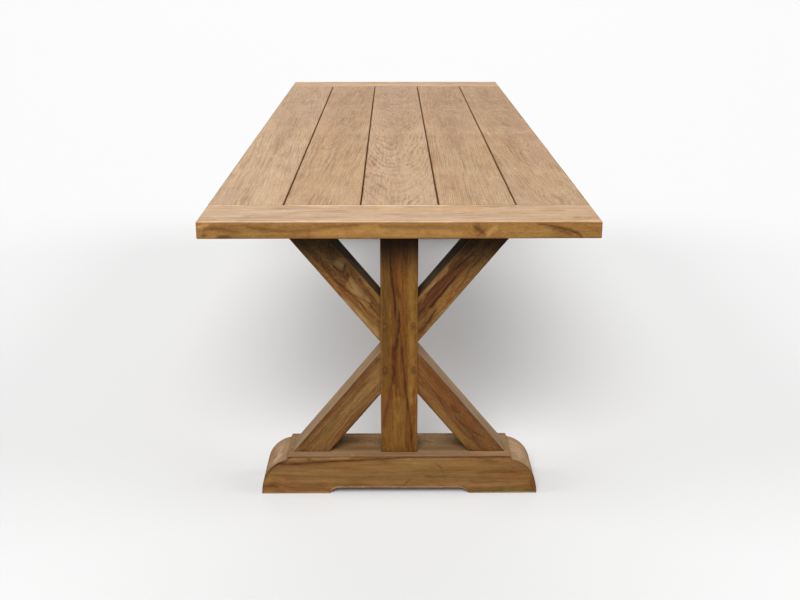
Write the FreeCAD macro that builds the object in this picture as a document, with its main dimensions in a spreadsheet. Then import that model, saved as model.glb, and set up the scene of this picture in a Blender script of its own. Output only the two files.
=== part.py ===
"""A long trestle table in heavy timber: five boards held between breadboard ends, on two
trestles of a shaped foot, a square post and four pegged struts, tied by one stretcher.

Frame: X across the table, Y along it, Z up, in millimetres. The origin is on the floor
under the middle of the top. "Near" is the end at -Y, and "left" and "right" are as seen
by someone who stands at a trestle's outer side and faces the table.
"""

import FreeCAD, Part
import math
import os

import Sketcher

document = FreeCAD.newDocument("sawbuck_table")


# ---------------------------------------------------------------- driving dimensions

DRIVING = (
    # the whole table
    ("table_length", 3000),
    ("table_width", 1000),
    ("table_height", 760),
    # the top
    ("top_thickness", 43),
    ("breadboard_width", 190),
    ("board_gap", 3),
    ("board_2_width", 199),
    ("board_3_width", 201),
    ("board_4_width", 200),
    ("outer_board_trim", 2.5),
    ("board_arris", 1.5),
    ("breadboard_arris", 3),
    # boards joined to each other and to the breadboard ends
    ("tongue_thickness", 12),
    ("tongue_depth", 20),
    ("tongue_stop", 25),
    ("end_tenon_width", 80),
    ("end_tenon_depth", 40),
    ("end_peg_setback", 22),
    ("end_peg_cover", 8),
    ("spline_thickness", 10),
    ("spline_width", 27),
    ("fit_gap", 0.3),
    ("end_gap", 2),
    # pegs and coach screws
    ("peg_diameter", 10),
    ("peg_gap", 0.15),
    ("peg_proud", 1),
    ("screw_diameter", 8),
    ("screw_gap", 0.3),
    ("screw_head_across_flats", 13),
    ("screw_head_height", 5.5),
    # dovetailed battens under the boards
    ("batten_setback", 40),
    ("batten_width", 90),
    ("batten_thickness", 28),
    ("batten_spacing", 740),
    ("batten_nose", 12),
    ("batten_bevel", 30),
    ("batten_shoulder", 15),
    ("dovetail_height", 12),
    ("dovetail_flare", 5),
    # the foot
    ("trestle_inset", 119),
    ("foot_length", 738),
    ("foot_height", 108),
    ("foot_depth", 150),
    ("foot_flare", 14),
    ("foot_shoulder_radius", 55),
    ("foot_step", 12),
    ("foot_step_slant", 3),
    ("foot_plateau_inset", 72),
    ("pad_length", 182),
    ("relief_height", 16),
    ("relief_cove_radius", 31),
    ("foot_arris", 3),
    # the post
    ("post_width", 97),
    ("post_depth", 97),
    ("post_arris", 3),
    ("foot_tenon_width", 70),
    ("foot_tenon_thickness", 40),
    ("foot_tenon_length", 68),
    ("foot_peg_drop", 30),
    ("foot_peg_length", 108),
    ("head_tenon_size", 45),
    # the struts
    ("crossing_height", 406),
    ("crossing_gap", 26),
    ("strut_toe_margin", 12.7),
    ("strut_setback", 5),
    ("strut_arris", 3),
    ("upper_strut_width", 78.5),
    ("lower_strut_width", 75.5),
    ("strut_tenon_thickness", 26),
    ("strut_tenon_length", 28),
    ("strut_tenon_margin", 15),
    ("strut_toe_tenon_width", 60),
    ("strut_toe_tenon_length", 25),
    ("strut_peg_inset", 11),
    ("strut_peg_length", 72),
    ("upper_peg_rise", 45),
    ("lower_peg_drop", 50),
    # the bearer on the head of a trestle
    ("bearer_overhang", 58.2),
    ("bearer_thickness", 16),
    ("bearer_setback", 3),
    ("bearer_nose", 6),
    ("bearer_bevel", 14),
    ("bearer_screw_inset", 28),
    ("bearer_screw_bite", 26),
    ("strut_head_tenon_width", 50),
    # the stretcher
    ("stretcher_width", 70),
    ("stretcher_height", 90),
    ("stretcher_arris", 4),
    ("stretcher_tenon_thickness", 28),
    ("stretcher_tenon_margin", 10),
    ("stretcher_tenon_length", 55),
    ("stretcher_peg_setback", 28),
    ("stretcher_peg_length", 78),
)

# Sizes that follow from the driving ones. Each formula may use any line above it.
DERIVED = (
    ("board_length", "table_length - 2 * breadboard_width"),
    ("inner_boards", "board_2_width + board_3_width + board_4_width"),
    ("outer_boards", "table_width - inner_boards - 4 * board_gap"),
    ("board_1_width", "outer_boards / 2 + outer_board_trim"),
    ("board_5_width", "outer_boards / 2 - outer_board_trim"),
    ("board_1_x", "-table_width / 2 + board_1_width / 2"),
    ("board_2_x", "board_1_x + (board_1_width + board_2_width) / 2 + board_gap"),
    ("board_3_x", "board_2_x + (board_2_width + board_3_width) / 2 + board_gap"),
    ("board_4_x", "board_3_x + (board_3_width + board_4_width) / 2 + board_gap"),
    ("board_5_x", "board_4_x + (board_4_width + board_5_width) / 2 + board_gap"),
    ("underside", "table_height - top_thickness"),
    ("groove_thickness", "tongue_thickness + 2 * fit_gap"),
    ("spline_groove_thickness", "spline_thickness + 2 * fit_gap"),
    ("spline_groove_depth", "(spline_width - board_gap) / 2 + fit_gap"),
    ("end_peg_length", "top_thickness - end_peg_cover"),
    ("peg_hole", "peg_diameter + 2 * peg_gap"),
    ("screw_hole", "screw_diameter + 2 * screw_gap"),
    ("dovetail_neck", "batten_width / 2 - batten_shoulder"),
    ("batten_length", "table_width - 2 * batten_setback"),
    ("batten_reach", "batten_length / 2 + fit_gap"),
    ("trestle_y", "table_length / 2 - trestle_inset"),
    ("bearer_underside", "underside - bearer_thickness"),
    ("bearer_depth", "post_depth - 2 * bearer_setback"),
    ("strut_depth", "post_depth - 2 * strut_setback"),
    ("mortise_thickness", "strut_tenon_thickness + 2 * fit_gap"),
    ("mortise_floor", "post_width / 2 - strut_tenon_length - fit_gap"),
    ("upper_strut_spring", "crossing_height + crossing_gap / 2"),
    ("lower_strut_spring", "crossing_height - crossing_gap / 2"),
    ("foot_plateau_x", "foot_length / 2 - foot_plateau_inset"),
    ("lower_reach", "foot_plateau_x - strut_toe_margin"),
    ("lower_drop", "lower_strut_spring - foot_height"),
    ("strut_angle", "atan(lower_drop / (lower_reach - post_width / 2))"),
    ("upper_shoulder", "upper_strut_width / cos(strut_angle)"),
    ("upper_middle", "upper_strut_spring + upper_shoulder / 2"),
    ("upper_tenon_height", "upper_shoulder - 2 * strut_tenon_margin"),
    ("upper_cut", "upper_strut_width / sin(strut_angle)"),
    ("upper_rise", "bearer_underside - upper_strut_spring"),
    ("upper_reach", "post_width / 2 + upper_rise / tan(strut_angle)"),
    ("lower_shoulder", "lower_strut_width / cos(strut_angle)"),
    ("lower_middle", "lower_strut_spring - lower_shoulder / 2"),
    ("lower_tenon_height", "lower_shoulder - 2 * strut_tenon_margin"),
    ("lower_cut", "lower_strut_width / sin(strut_angle)"),
    ("toe_x", "lower_reach - lower_cut / 2"),
    ("strut_head_x", "upper_reach - upper_cut / 2"),
    ("bearer_half", "upper_reach + bearer_overhang"),
    ("bearer_screw_x", "bearer_half - bearer_screw_inset"),
    ("strut_peg_x", "post_width / 2 - strut_peg_inset"),
    ("upper_peg_z", "upper_strut_spring + upper_peg_rise"),
    ("lower_peg_z", "lower_strut_spring - lower_peg_drop"),
    ("foot_peg_z", "foot_height - foot_peg_drop"),
    ("foot_shoulder_top", "foot_height - foot_step"),
    ("foot_shoulder_z", "foot_shoulder_top - foot_shoulder_radius"),
    ("foot_lean", "foot_shoulder_radius + foot_shoulder_z * sin(foot_flare)"),
    ("foot_shoulder_x", "foot_length / 2 - foot_lean / cos(foot_flare)"),
    ("pad_inner_x", "foot_length / 2 - pad_length"),
    ("cove_chord", "2 * relief_cove_radius * relief_height - relief_height^2"),
    ("relief_x", "pad_inner_x - sqrt(cove_chord)"),
    ("stretcher_length", "2 * trestle_y - post_depth"),
    ("stretcher_tenon_height", "stretcher_height - 2 * stretcher_tenon_margin"),
    ("stretcher_peg_y", "post_depth / 2 - stretcher_peg_setback"),
)

BOARD_COUNT = 5
PEGGED_BOARDS = (1, 3, 5)
PEG_SIDES = 8
BOLT_HEAD_SIDES = 6
LEAST_CUT = 1  # cubic millimetres
TOUCH = 1e-6
ENDS = ("near", "far")
SIDES = (("left", -1), ("right", 1))

sheet = document.addObject("Spreadsheet::Sheet", "sizes")
for row, (alias, entry) in enumerate(DRIVING + DERIVED, start=1):
    formula = entry if isinstance(entry, (int, float)) else f"={entry}"
    sheet.set(f"A{row}", alias)
    sheet.set(f"B{row}", str(formula))
    sheet.setAlias(f"B{row}", alias)
document.recompute()


# ------------------------------------------------------------------ drawing helpers

ALIASES = sorted((alias for alias, entry in DRIVING + DERIVED), key=len, reverse=True)


def bound(expression):
    """The expression as another object of the document writes it: each alias of the
    sheet gets the sheet's name before it."""
    words = []
    word = ""
    for letter in str(expression) + " ":
        if letter.isalnum() or letter in "_.":
            word += letter
            continue
        words.append(f"sizes.{word}" if word in ALIASES else word)
        words.append(letter)
        word = ""
    return "".join(words).strip()


def value(expression):
    """The number that an expression of the sheet's aliases comes to."""
    return float(sheet.evalExpression(str(expression)))


def point(spot):
    return FreeCAD.Vector(value(spot[0]), value(spot[1]), 0)


def origin_plane(body, role):
    return next(item for item in body.Origin.OriginFeatures if item.Role == role)


def new_body(name):
    body = document.addObject("PartDesign::Body", name)
    body.Label = name
    return body


def sketch_on(body, role, name, offset="0"):
    """A sketch on one of the body's origin planes, moved along that plane's normal."""
    sketch = body.newObject("Sketcher::SketchObject", name)
    sketch.AttachmentSupport = (origin_plane(body, role), [""])
    sketch.MapMode = "FlatFace"
    sketch.setExpression("AttachmentOffset.Base.z", bound(offset))
    return sketch


def fix_point(sketch, curve, end, spot):
    """Two dimensions from the sketch's origin hold one end of a curve."""
    for kind, place in zip(("DistanceX", "DistanceY"), spot):
        rule = Sketcher.Constraint(kind, -1, 1, curve, end, value(place))
        index = sketch.addConstraint(rule)
        sketch.setExpression(f"Constraints[{index}]", bound(place))


def bulged_arc(start, end, radius, side):
    """The shorter arc of a radius between two points, on one side of their chord: 1 is
    the right. A sketch keeps its arcs counterclockwise, so a left one runs backwards."""
    chord = end - start
    outward = FreeCAD.Vector(chord.y, -chord.x, 0).normalize() * side
    rise = radius - math.sqrt(radius**2 - (chord.Length / 2) ** 2)
    middle = (start + end) / 2 + outward * rise
    return Part.Arc(start, middle, end) if side > 0 else Part.Arc(end, middle, start)


def outline(sketch, spots, arcs=None):
    """A closed outline through spots. arcs maps the number of the spot that an arc
    starts at to its radius and its side: 1 is to the right of the way round."""
    arcs = arcs or {}
    ends = []
    for number, spot in enumerate(spots):
        start = point(spot)
        end = point(spots[(number + 1) % len(spots)])
        if number not in arcs:
            curve = sketch.addGeometry(Part.LineSegment(start, end))
            ends.append((curve, 1, 2))
            continue
        radius, side = arcs[number]
        curve = sketch.addGeometry(bulged_arc(start, end, value(radius), side))
        ends.append((curve, 1, 2) if side > 0 else (curve, 2, 1))
        rule = sketch.addConstraint(Sketcher.Constraint("Radius", curve, value(radius)))
        sketch.setExpression(f"Constraints[{rule}]", bound(radius))
    for number, (curve, first, last) in enumerate(ends):
        following, start_end, _ = ends[(number + 1) % len(ends)]
        link = Sketcher.Constraint("Coincident", curve, last, following, start_end)
        sketch.addConstraint(link)
        fix_point(sketch, curve, first, spots[number])


def rectangle(sketch, left, right, low, high):
    outline(sketch, ((left, low), (right, low), (right, high), (left, high)))


def bevelled_bar(sketch, half, bevel, low, nose, high):
    """The side view of a flat bar whose ends are bevelled below, from a nose to a
    shorter underside."""
    outline(
        sketch,
        (
            (f"-({bevel})", low),
            (bevel, low),
            (half, nose),
            (half, high),
            (f"-({half})", high),
            (f"-({half})", nose),
        ),
    )


def circle(sketch, across, up, diameter):
    round_edge = Part.Circle(point((across, up)), FreeCAD.Vector(0, 0, 1), value(diameter) / 2)
    curve = sketch.addGeometry(round_edge)
    fix_point(sketch, curve, 3, (across, up))
    rule = sketch.addConstraint(Sketcher.Constraint("Diameter", curve, value(diameter)))
    sketch.setExpression(f"Constraints[{rule}]", bound(diameter))


def extrude(kind, body, sketch, length, both_ways, backwards):
    feature = body.newObject(kind, f"{sketch.Name}_{kind.split('::')[1].lower()}")
    feature.Profile = sketch
    feature.SideType = "Symmetric" if both_ways else "One side"
    feature.Reversed = backwards
    feature.setExpression("Length", bound(length))
    return feature


def pad(body, sketch, length, both_ways=False, backwards=False):
    return extrude("PartDesign::Pad", body, sketch, length, both_ways, backwards)


def pocket(body, sketch, length, both_ways=False, backwards=False):
    """Cuts the body. A cut that takes nothing away is an error in the model."""
    document.recompute()
    before = body.Shape.Volume
    feature = extrude("PartDesign::Pocket", body, sketch, length, both_ways, backwards)
    document.recompute()
    if body.Shape.Volume > before - LEAST_CUT:
        raise ValueError(f"{sketch.Name} cuts nothing from {body.Label}")
    return feature


def straight_edges(body, direction, least):
    """The names of the straight edges that run one way and are at least so long."""
    document.recompute()
    names = []
    for number, edge in enumerate(body.Shape.Edges, start=1):
        if edge.Length < least or not isinstance(edge.Curve, Part.Line):
            continue
        if abs(abs(edge.Curve.Direction.dot(direction)) - 1) < TOUCH:
            names.append(f"Edge{number}")
    return names


def edges_in(body, test):
    """The names of the edges, rims of holes apart, whose both ends pass a test."""
    document.recompute()
    return [
        f"Edge{number}"
        for number, edge in enumerate(body.Shape.Edges, start=1)
        if not edge.isClosed() and all(test(vertex.Point) for vertex in edge.Vertexes)
    ]


def soften(body, names, size):
    """Takes the arris off the named edges of the body as it stands."""
    base = body.Tip
    chamfer = body.newObject("PartDesign::Chamfer", f"{body.Name}_arris")
    chamfer.Base = (base, names)
    chamfer.setExpression("Size", bound(size))
    return chamfer


def place(part, across="0", along="0", up="0", turned=False):
    """Sets a part's Placement. A turned part is rotated half a turn about Z."""
    part.Placement.Rotation = FreeCAD.Rotation(FreeCAD.Vector(0, 0, 1), 180 * turned)
    for axis, distance in zip("xyz", (across, along, up)):
        part.setExpression(f"Placement.Base.{axis}", bound(distance))


def place_on_trestle(part, end):
    """What belongs to a trestle is modelled with the trestle's own middle at the
    origin, its outer face towards -Y, and then set at its end of the table."""
    if end == "near":
        place(part, along="-trestle_y")
    else:
        place(part, along="trestle_y", turned=True)


TURNS = {
    "up": FreeCAD.Rotation(),
    "along": FreeCAD.Rotation(FreeCAD.Vector(1, 0, 0), -90),
    "back": FreeCAD.Rotation(FreeCAD.Vector(1, 0, 0), 90),
    "left": FreeCAD.Rotation(FreeCAD.Vector(0, 1, 0), -90),
}


def aim(bar, length, spot, way):
    """A bar of a set length starts at a spot and runs one way."""
    bar.setExpression("Height", bound(length))
    bar.Placement.Rotation = TURNS[way]
    for axis, distance in zip("xyz", spot):
        bar.setExpression(f"Placement.Base.{axis}", bound(distance))
    return bar


def rod(name, diameter, length, spot, way):
    bar = document.addObject("Part::Cylinder", name)
    bar.setExpression("Radius", bound(f"{diameter} / 2"))
    return aim(bar, length, spot, way)


def prism(name, sides, radius, length, spot, way):
    """A bar with flat sides. The radius is measured to its corners."""
    bar = document.addObject("Part::Prism", name)
    bar.Polygon = sides
    bar.setExpression("Circumradius", bound(radius))
    return aim(bar, length, spot, way)


def pegs(name, length, spots, way):
    """A set of riven pegs with eight sides, each a solid of its own, as one sub-part."""
    group = document.addObject("Part::Compound", name)
    group.Label = name
    group.Links = [
        prism(f"{name}_{number}", PEG_SIDES, "peg_diameter / 2", length, spot, way)
        for number, spot in enumerate(spots, start=1)
    ]
    return group


def coach_screws(name, length, spots):
    """A set of coach screws that point up, as one sub-part. Each spot is the seat of a
    hexagonal head, which lies below it."""
    corner = f"screw_head_across_flats / 2 / cos(180 / {BOLT_HEAD_SIDES})"
    deep = "screw_head_height"
    bars = []
    for number, (across, along, seat) in enumerate(spots, start=1):
        spot = (across, along, seat)
        bars.append(rod(f"{name}_shank_{number}", "screw_diameter", length, spot, "up"))
        spot = (across, along, f"{seat} - {deep}")
        head = f"{name}_head_{number}"
        bars.append(prism(head, BOLT_HEAD_SIDES, corner, deep, spot, "up"))
    group = document.addObject("Part::MultiFuse", name)
    group.Label = name
    group.Shapes = bars
    return group


# -------------------------------------------------------------------------- the top

def batten_places():
    """The battens' names and their places along the table."""
    return (("near", "-batten_spacing"), ("middle", "0"), ("far", "batten_spacing"))


def dovetail(sketch, along, gap):
    """The section of a batten's dovetail above the boards' underside, or of the slot
    that takes it with a gap all round."""
    neck = f"dovetail_neck + {gap}"
    crown = f"dovetail_neck + dovetail_flare + {gap}"
    high = f"dovetail_height + {gap}"
    outline(
        sketch,
        (
            (f"{along} - ({neck})", "0"),
            (f"{along} + {neck}", "0"),
            (f"{along} + {crown}", high),
            (f"{along} - ({crown})", high),
        ),
    )


def board_edges(number):
    """Where a board has a neighbour: -1 for its left edge and 1 for its right."""
    return [side for side in (-1, 1) if 1 <= number + side <= BOARD_COUNT]


def top_board(number):
    """One long board: tongues and a tenon at each end, and a groove for a spline in
    each edge that meets another board."""
    body = new_body(f"top_board_{number}")
    half = f"board_{number}_width / 2"
    end = "board_length / 2"

    face = sketch_on(body, "XY_Plane", "face")
    rectangle(face, f"-{half}", half, f"-{end}", end)
    pad(body, face, "top_thickness")

    # A tongue stops short of the table's long edge, so that it doesn't show there.
    stops = {side: "fit_gap" if side in board_edges(number) else "tongue_stop" for side in (-1, 1)}
    tongue = sketch_on(body, "XY_Plane", "tongue", "top_thickness / 2")
    reach = f"{end} + tongue_depth"
    rectangle(tongue, f"-{half} + {stops[-1]}", f"{half} - {stops[1]}", f"-({reach})", reach)
    pad(body, tongue, "tongue_thickness", both_ways=True)

    tenon = sketch_on(body, "XY_Plane", "tenon", "top_thickness / 2")
    reach = f"{end} + end_tenon_depth"
    rectangle(tenon, "-end_tenon_width / 2", "end_tenon_width / 2", f"-({reach})", reach)
    pad(body, tenon, "tongue_thickness", both_ways=True)

    groove = sketch_on(body, "XY_Plane", "spline_groove", "top_thickness / 2")
    for side in board_edges(number):
        edge, floor = f"{side} * {half}", f"{side} * ({half} - spline_groove_depth)"
        left, right = (edge, floor) if side < 0 else (floor, edge)
        rectangle(groove, left, right, f"-{end}", end)
    pocket(body, groove, "spline_groove_thickness", both_ways=True)

    if number in PEGGED_BOARDS:
        holes = sketch_on(body, "XY_Plane", "peg_holes", "top_thickness / 2")
        for way in ("-", ""):
            circle(holes, "0", f"{way}({end} + end_peg_setback)", "peg_hole")
        pocket(body, holes, "tongue_thickness * 2", both_ways=True)

    # The dovetail slots for the battens stop inside the two outer boards.
    left = f"-{half}" if number > 1 else f"-batten_reach - board_{number}_x"
    right = half if number < BOARD_COUNT else f"batten_reach - board_{number}_x"
    slots = sketch_on(body, "YZ_Plane", "dovetail_slots", right)
    for _, along in batten_places():
        dovetail(slots, along, "fit_gap")
    pocket(body, slots, f"{right} - ({left})")

    def on_top(spot):
        level = abs(spot.z - value("top_thickness")) < TOUCH
        return level and abs(spot.y) < value(end) + TOUCH

    soften(body, edges_in(body, on_top), "board_arris")
    place(body, across=f"board_{number}_x", up="underside")
    return body


def board_spline(number):
    """The loose tongue between a board and the next one."""
    spline = document.addObject("Part::Box", f"board_spline_{number}")
    spline.Label = spline.Name
    spline.setExpression("Length", bound("spline_width"))
    spline.setExpression("Width", bound("board_length"))
    spline.setExpression("Height", bound("spline_thickness"))
    seam = f"board_{number}_x + board_{number}_width / 2 + board_gap / 2"
    middle = "underside + (top_thickness - spline_thickness) / 2"
    place(spline, f"{seam} - spline_width / 2", "-board_length / 2", middle)
    return spline


def breadboard(end):
    """A breadboard end. Its joint face is at Y = 0 of its own frame, and the timber
    lies towards -Y. A stopped groove takes the boards' tongues, and deeper mortises in
    its floor take their tenons."""
    body = new_body(f"breadboard_{end}")
    side = 1 if end == "near" else -1
    half = "table_width / 2"
    boards = range(1, BOARD_COUNT + 1)

    face = sketch_on(body, "XY_Plane", "face")
    rectangle(face, f"-{half}", half, "-breadboard_width", "0")
    pad(body, face, "top_thickness")

    groove = sketch_on(body, "XY_Plane", "groove", "top_thickness / 2")
    reach = f"{half} - tongue_stop + fit_gap"
    rectangle(groove, f"-({reach})", reach, "-(tongue_depth + end_gap)", "0")
    pocket(body, groove, "groove_thickness", both_ways=True)

    mortises = sketch_on(body, "XY_Plane", "mortises", "top_thickness / 2")
    spread = "end_tenon_width / 2 + fit_gap"
    for number in boards:
        middle = f"{side} * board_{number}_x"
        deep = "-(end_tenon_depth + end_gap)"
        rectangle(mortises, f"{middle} - ({spread})", f"{middle} + {spread}", deep, "0")
    pocket(body, mortises, "groove_thickness", both_ways=True)

    holes = sketch_on(body, "XY_Plane", "peg_holes")
    for number in PEGGED_BOARDS:
        circle(holes, f"{side} * board_{number}_x", "-end_peg_setback", "peg_hole")
    pocket(body, holes, "end_peg_length + peg_gap", backwards=True)

    pilots = sketch_on(body, "XY_Plane", "screw_holes")
    for _, hand in SIDES:
        across = f"{hand} * bearer_screw_x"
        circle(pilots, across, "-(breadboard_width - trestle_inset)", "screw_hole")
    pocket(body, pilots, "bearer_screw_bite + screw_gap", backwards=True)

    def outer_arris(spot):
        outer = abs(spot.y + value("breadboard_width")) < TOUCH
        side_edge = abs(spot.x) > value(half) - TOUCH
        return (outer or side_edge) and abs(spot.z - value("top_thickness")) < TOUCH

    soften(body, edges_in(body, outer_arris), "breadboard_arris")
    if end == "near":
        place(body, along="-board_length / 2", up="underside")
    else:
        place(body, along="board_length / 2", up="underside", turned=True)
    return body


def breadboard_pegs(end):
    """Blind pegs, driven from below through the tenons of the middle board and the two
    outer ones. The splines hold the other two."""
    way = "-" if end == "near" else ""
    along = f"{way}(board_length / 2 + end_peg_setback)"
    spots = [(f"board_{number}_x", along, "underside") for number in PEGGED_BOARDS]
    return pegs(f"breadboard_pegs_{end}", "end_peg_length", spots, "up")


def batten(name, along):
    """A batten across the boards: its dovetail lies in their slots, its shoulders bear
    on their underside, and its ends are bevelled below."""
    body = new_body(f"batten_{name}")
    half = "batten_length / 2"

    bevel = f"{half} - batten_bevel"
    side = sketch_on(body, "XZ_Plane", "side")
    bevelled_bar(side, half, bevel, "-batten_thickness", "-batten_nose", "0")
    pad(body, side, "batten_width", both_ways=True)

    tail = sketch_on(body, "YZ_Plane", "dovetail")
    dovetail(tail, "0", "0")
    pad(body, tail, "batten_length", both_ways=True)
    place(body, along=along, up="underside")
    return body


# ---------------------------------------------------------------------- the trestles

def foot(end):
    """The shaped foot. Each end rises from the floor in a slight flare, turns over in
    a quarter-round shoulder, and steps up to the flat that carries post and struts."""
    body = new_body(f"foot_{end}")
    toe = ("foot_length / 2", "0")
    tangent = (
        "foot_shoulder_x + foot_shoulder_radius * cos(foot_flare)",
        "foot_shoulder_z + foot_shoulder_radius * sin(foot_flare)",
    )
    half_profile = (
        ("relief_x", "relief_height"),
        ("pad_inner_x", "0"),
        toe,
        tangent,
        ("foot_shoulder_x", "foot_shoulder_top"),
        ("foot_plateau_x + foot_step_slant", "foot_shoulder_top"),
        ("foot_plateau_x", "foot_height"),
    )
    mirrored = [(f"-({across})", up) for across, up in reversed(half_profile)]
    cove, shoulder = 0, 3
    last = 2 * len(half_profile) - 2
    arcs = {
        cove: ("relief_cove_radius", -1),
        shoulder: ("foot_shoulder_radius", 1),
        last - shoulder: ("foot_shoulder_radius", 1),
        last - cove: ("relief_cove_radius", -1),
    }
    side = sketch_on(body, "XZ_Plane", "side")
    outline(side, (*half_profile, *mirrored), arcs)
    pad(body, side, "foot_depth", both_ways=True)

    post_mortise = sketch_on(body, "XZ_Plane", "post_mortise")
    across = "foot_tenon_width / 2 + fit_gap"
    floor = "foot_height - foot_tenon_length - end_gap"
    rectangle(post_mortise, f"-({across})", across, floor, "foot_height")
    pocket(body, post_mortise, "foot_tenon_thickness + 2 * fit_gap", both_ways=True)

    toe_mortises = sketch_on(body, "XZ_Plane", "toe_mortises")
    spread = "strut_toe_tenon_width / 2 + fit_gap"
    floor = "foot_height - strut_toe_tenon_length - end_gap"
    for _, hand in SIDES:
        middle = f"{hand} * toe_x"
        edges = (f"{middle} - ({spread})", f"{middle} + {spread}")
        rectangle(toe_mortises, *edges, floor, "foot_height")
    pocket(body, toe_mortises, "mortise_thickness", both_ways=True)

    peg_hole = sketch_on(body, "XZ_Plane", "peg_hole", "-foot_depth / 2")
    circle(peg_hole, "0", "foot_peg_z", "peg_hole")
    pocket(body, peg_hole, "foot_peg_length + peg_gap", backwards=True)

    def on_face(spot, face):
        level = abs(spot.y - face * value("foot_depth / 2")) < TOUCH
        return level and spot.z > value("relief_height") + TOUCH

    outer = edges_in(body, lambda spot: on_face(spot, -1))
    inner = edges_in(body, lambda spot: on_face(spot, 1))
    soften(body, outer + inner, "foot_arris")
    place_on_trestle(body, end)
    return body


def post(end):
    """The square post, with a tenon into the foot and one through the bearer. Four
    mortises take the struts, and a fifth in its inner face takes the stretcher."""
    body = new_body(f"post_{end}")
    half = "post_width / 2"

    shaft = sketch_on(body, "XZ_Plane", "shaft")
    rectangle(shaft, f"-{half}", half, "foot_height", "bearer_underside")
    pad(body, shaft, "post_depth", both_ways=True)

    foot_tenon = sketch_on(body, "XZ_Plane", "foot_tenon")
    across = "foot_tenon_width / 2"
    rectangle(foot_tenon, f"-{across}", across, "foot_height - foot_tenon_length", "foot_height")
    pad(body, foot_tenon, "foot_tenon_thickness", both_ways=True)

    head_tenon = sketch_on(body, "XZ_Plane", "head_tenon")
    across = "head_tenon_size / 2"
    rectangle(head_tenon, f"-{across}", across, "bearer_underside", "underside")
    pad(body, head_tenon, "head_tenon_size", both_ways=True)

    mortises = sketch_on(body, "XZ_Plane", "strut_mortises")
    for row in ("upper", "lower"):
        reach = f"{row}_tenon_height / 2 + fit_gap"
        low, high = f"{row}_middle - ({reach})", f"{row}_middle + {reach}"
        rectangle(mortises, f"-{half}", "-mortise_floor", low, high)
        rectangle(mortises, "mortise_floor", half, low, high)
    pocket(body, mortises, "mortise_thickness", both_ways=True)

    stretcher_mortise = sketch_on(body, "XZ_Plane", "stretcher_mortise", "-post_depth / 2")
    across = "stretcher_tenon_thickness / 2 + fit_gap"
    reach = "stretcher_tenon_height / 2 + fit_gap"
    low, high = f"crossing_height - ({reach})", f"crossing_height + {reach}"
    rectangle(stretcher_mortise, f"-({across})", across, low, high)
    pocket(body, stretcher_mortise, "stretcher_tenon_length + end_gap", backwards=True)

    face_holes = sketch_on(body, "XZ_Plane", "face_peg_holes", "post_depth / 2")
    for row in ("upper", "lower"):
        for _, hand in SIDES:
            circle(face_holes, f"{hand} * strut_peg_x", f"{row}_peg_z", "peg_hole")
    pocket(body, face_holes, "strut_peg_length - peg_proud + peg_gap")

    side_hole = sketch_on(body, "YZ_Plane", "side_peg_hole", half)
    circle(side_hole, "stretcher_peg_y", "crossing_height", "peg_hole")
    pocket(body, side_hole, "stretcher_peg_length + peg_gap")

    tenon_hole = sketch_on(body, "XZ_Plane", "tenon_peg_hole")
    circle(tenon_hole, "0", "foot_peg_z", "peg_hole")
    pocket(body, tenon_hole, "post_depth", both_ways=True)

    upright = straight_edges(body, FreeCAD.Vector(0, 0, 1), value("bearer_underside / 2"))
    soften(body, upright, "post_arris")
    place_on_trestle(body, end)
    return body


def strut(row, end, name, hand):
    """A strut between post and bearer (upper) or post and foot (lower): an upright
    shoulder with a pegged tenon at the post, and a level cut at the other end."""
    body = new_body(f"{row}_strut_{name}_{end}")
    level = {"upper": "bearer_underside", "lower": "foot_height"}[row]
    rise = {"upper": "+", "lower": "-"}[row]
    shoulder = f"{hand} * post_width / 2"

    side = sketch_on(body, "XZ_Plane", "side")
    outline(
        side,
        (
            (shoulder, f"{row}_strut_spring"),
            (f"{hand} * {row}_reach", level),
            (f"{hand} * ({row}_reach - {row}_cut)", level),
            (shoulder, f"{row}_strut_spring {rise} {row}_shoulder"),
        ),
    )
    pad(body, side, "strut_depth", both_ways=True)

    tenon = sketch_on(body, "XZ_Plane", "post_tenon")
    tip = f"{hand} * (post_width / 2 - strut_tenon_length)"
    low = f"{row}_middle - {row}_tenon_height / 2"
    high = f"{row}_middle + {row}_tenon_height / 2"
    rectangle(tenon, tip, shoulder, low, high)
    pad(body, tenon, "strut_tenon_thickness", both_ways=True)

    peg_hole = sketch_on(body, "XZ_Plane", "peg_hole")
    circle(peg_hole, f"{hand} * strut_peg_x", f"{row}_peg_z", "peg_hole")
    pocket(body, peg_hole, "strut_tenon_thickness * 2", both_ways=True)

    cut_tenon = sketch_on(body, "XZ_Plane", "cut_tenon")
    if row == "lower":
        edges = [f"{hand} * toe_x {sign} strut_toe_tenon_width / 2" for sign in "-+"]
        rectangle(cut_tenon, *edges, "foot_height - strut_toe_tenon_length", "foot_height")
    else:
        edges = [f"{hand} * strut_head_x {sign} strut_head_tenon_width / 2" for sign in "-+"]
        rectangle(cut_tenon, *edges, "bearer_underside", "underside")
    pad(body, cut_tenon, "strut_tenon_thickness", both_ways=True)

    slope = math.radians(value("strut_angle"))
    turn = {"upper": 1, "lower": -1}[row] * hand
    direction = FreeCAD.Vector(math.cos(slope), 0, turn * math.sin(slope))
    soften(body, straight_edges(body, direction, value("post_width")), "strut_arris")
    place_on_trestle(body, end)
    return body


def strut_pegs(end):
    """The four pegs in the post's outer face, each through the tenon of a strut."""
    spots = [
        (f"{hand} * strut_peg_x", "-post_depth / 2 - peg_proud", f"{row}_peg_z")
        for row in ("upper", "lower")
        for _, hand in SIDES
    ]
    group = pegs(f"strut_pegs_{end}", "strut_peg_length", spots, "along")
    place_on_trestle(group, end)
    return group


def foot_peg(end):
    """The peg from the inner side of the foot through the tenon of the post."""
    spots = [("0", "foot_depth / 2", "foot_peg_z")]
    group = pegs(f"foot_peg_{end}", "foot_peg_length", spots, "back")
    place_on_trestle(group, end)
    return group


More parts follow.
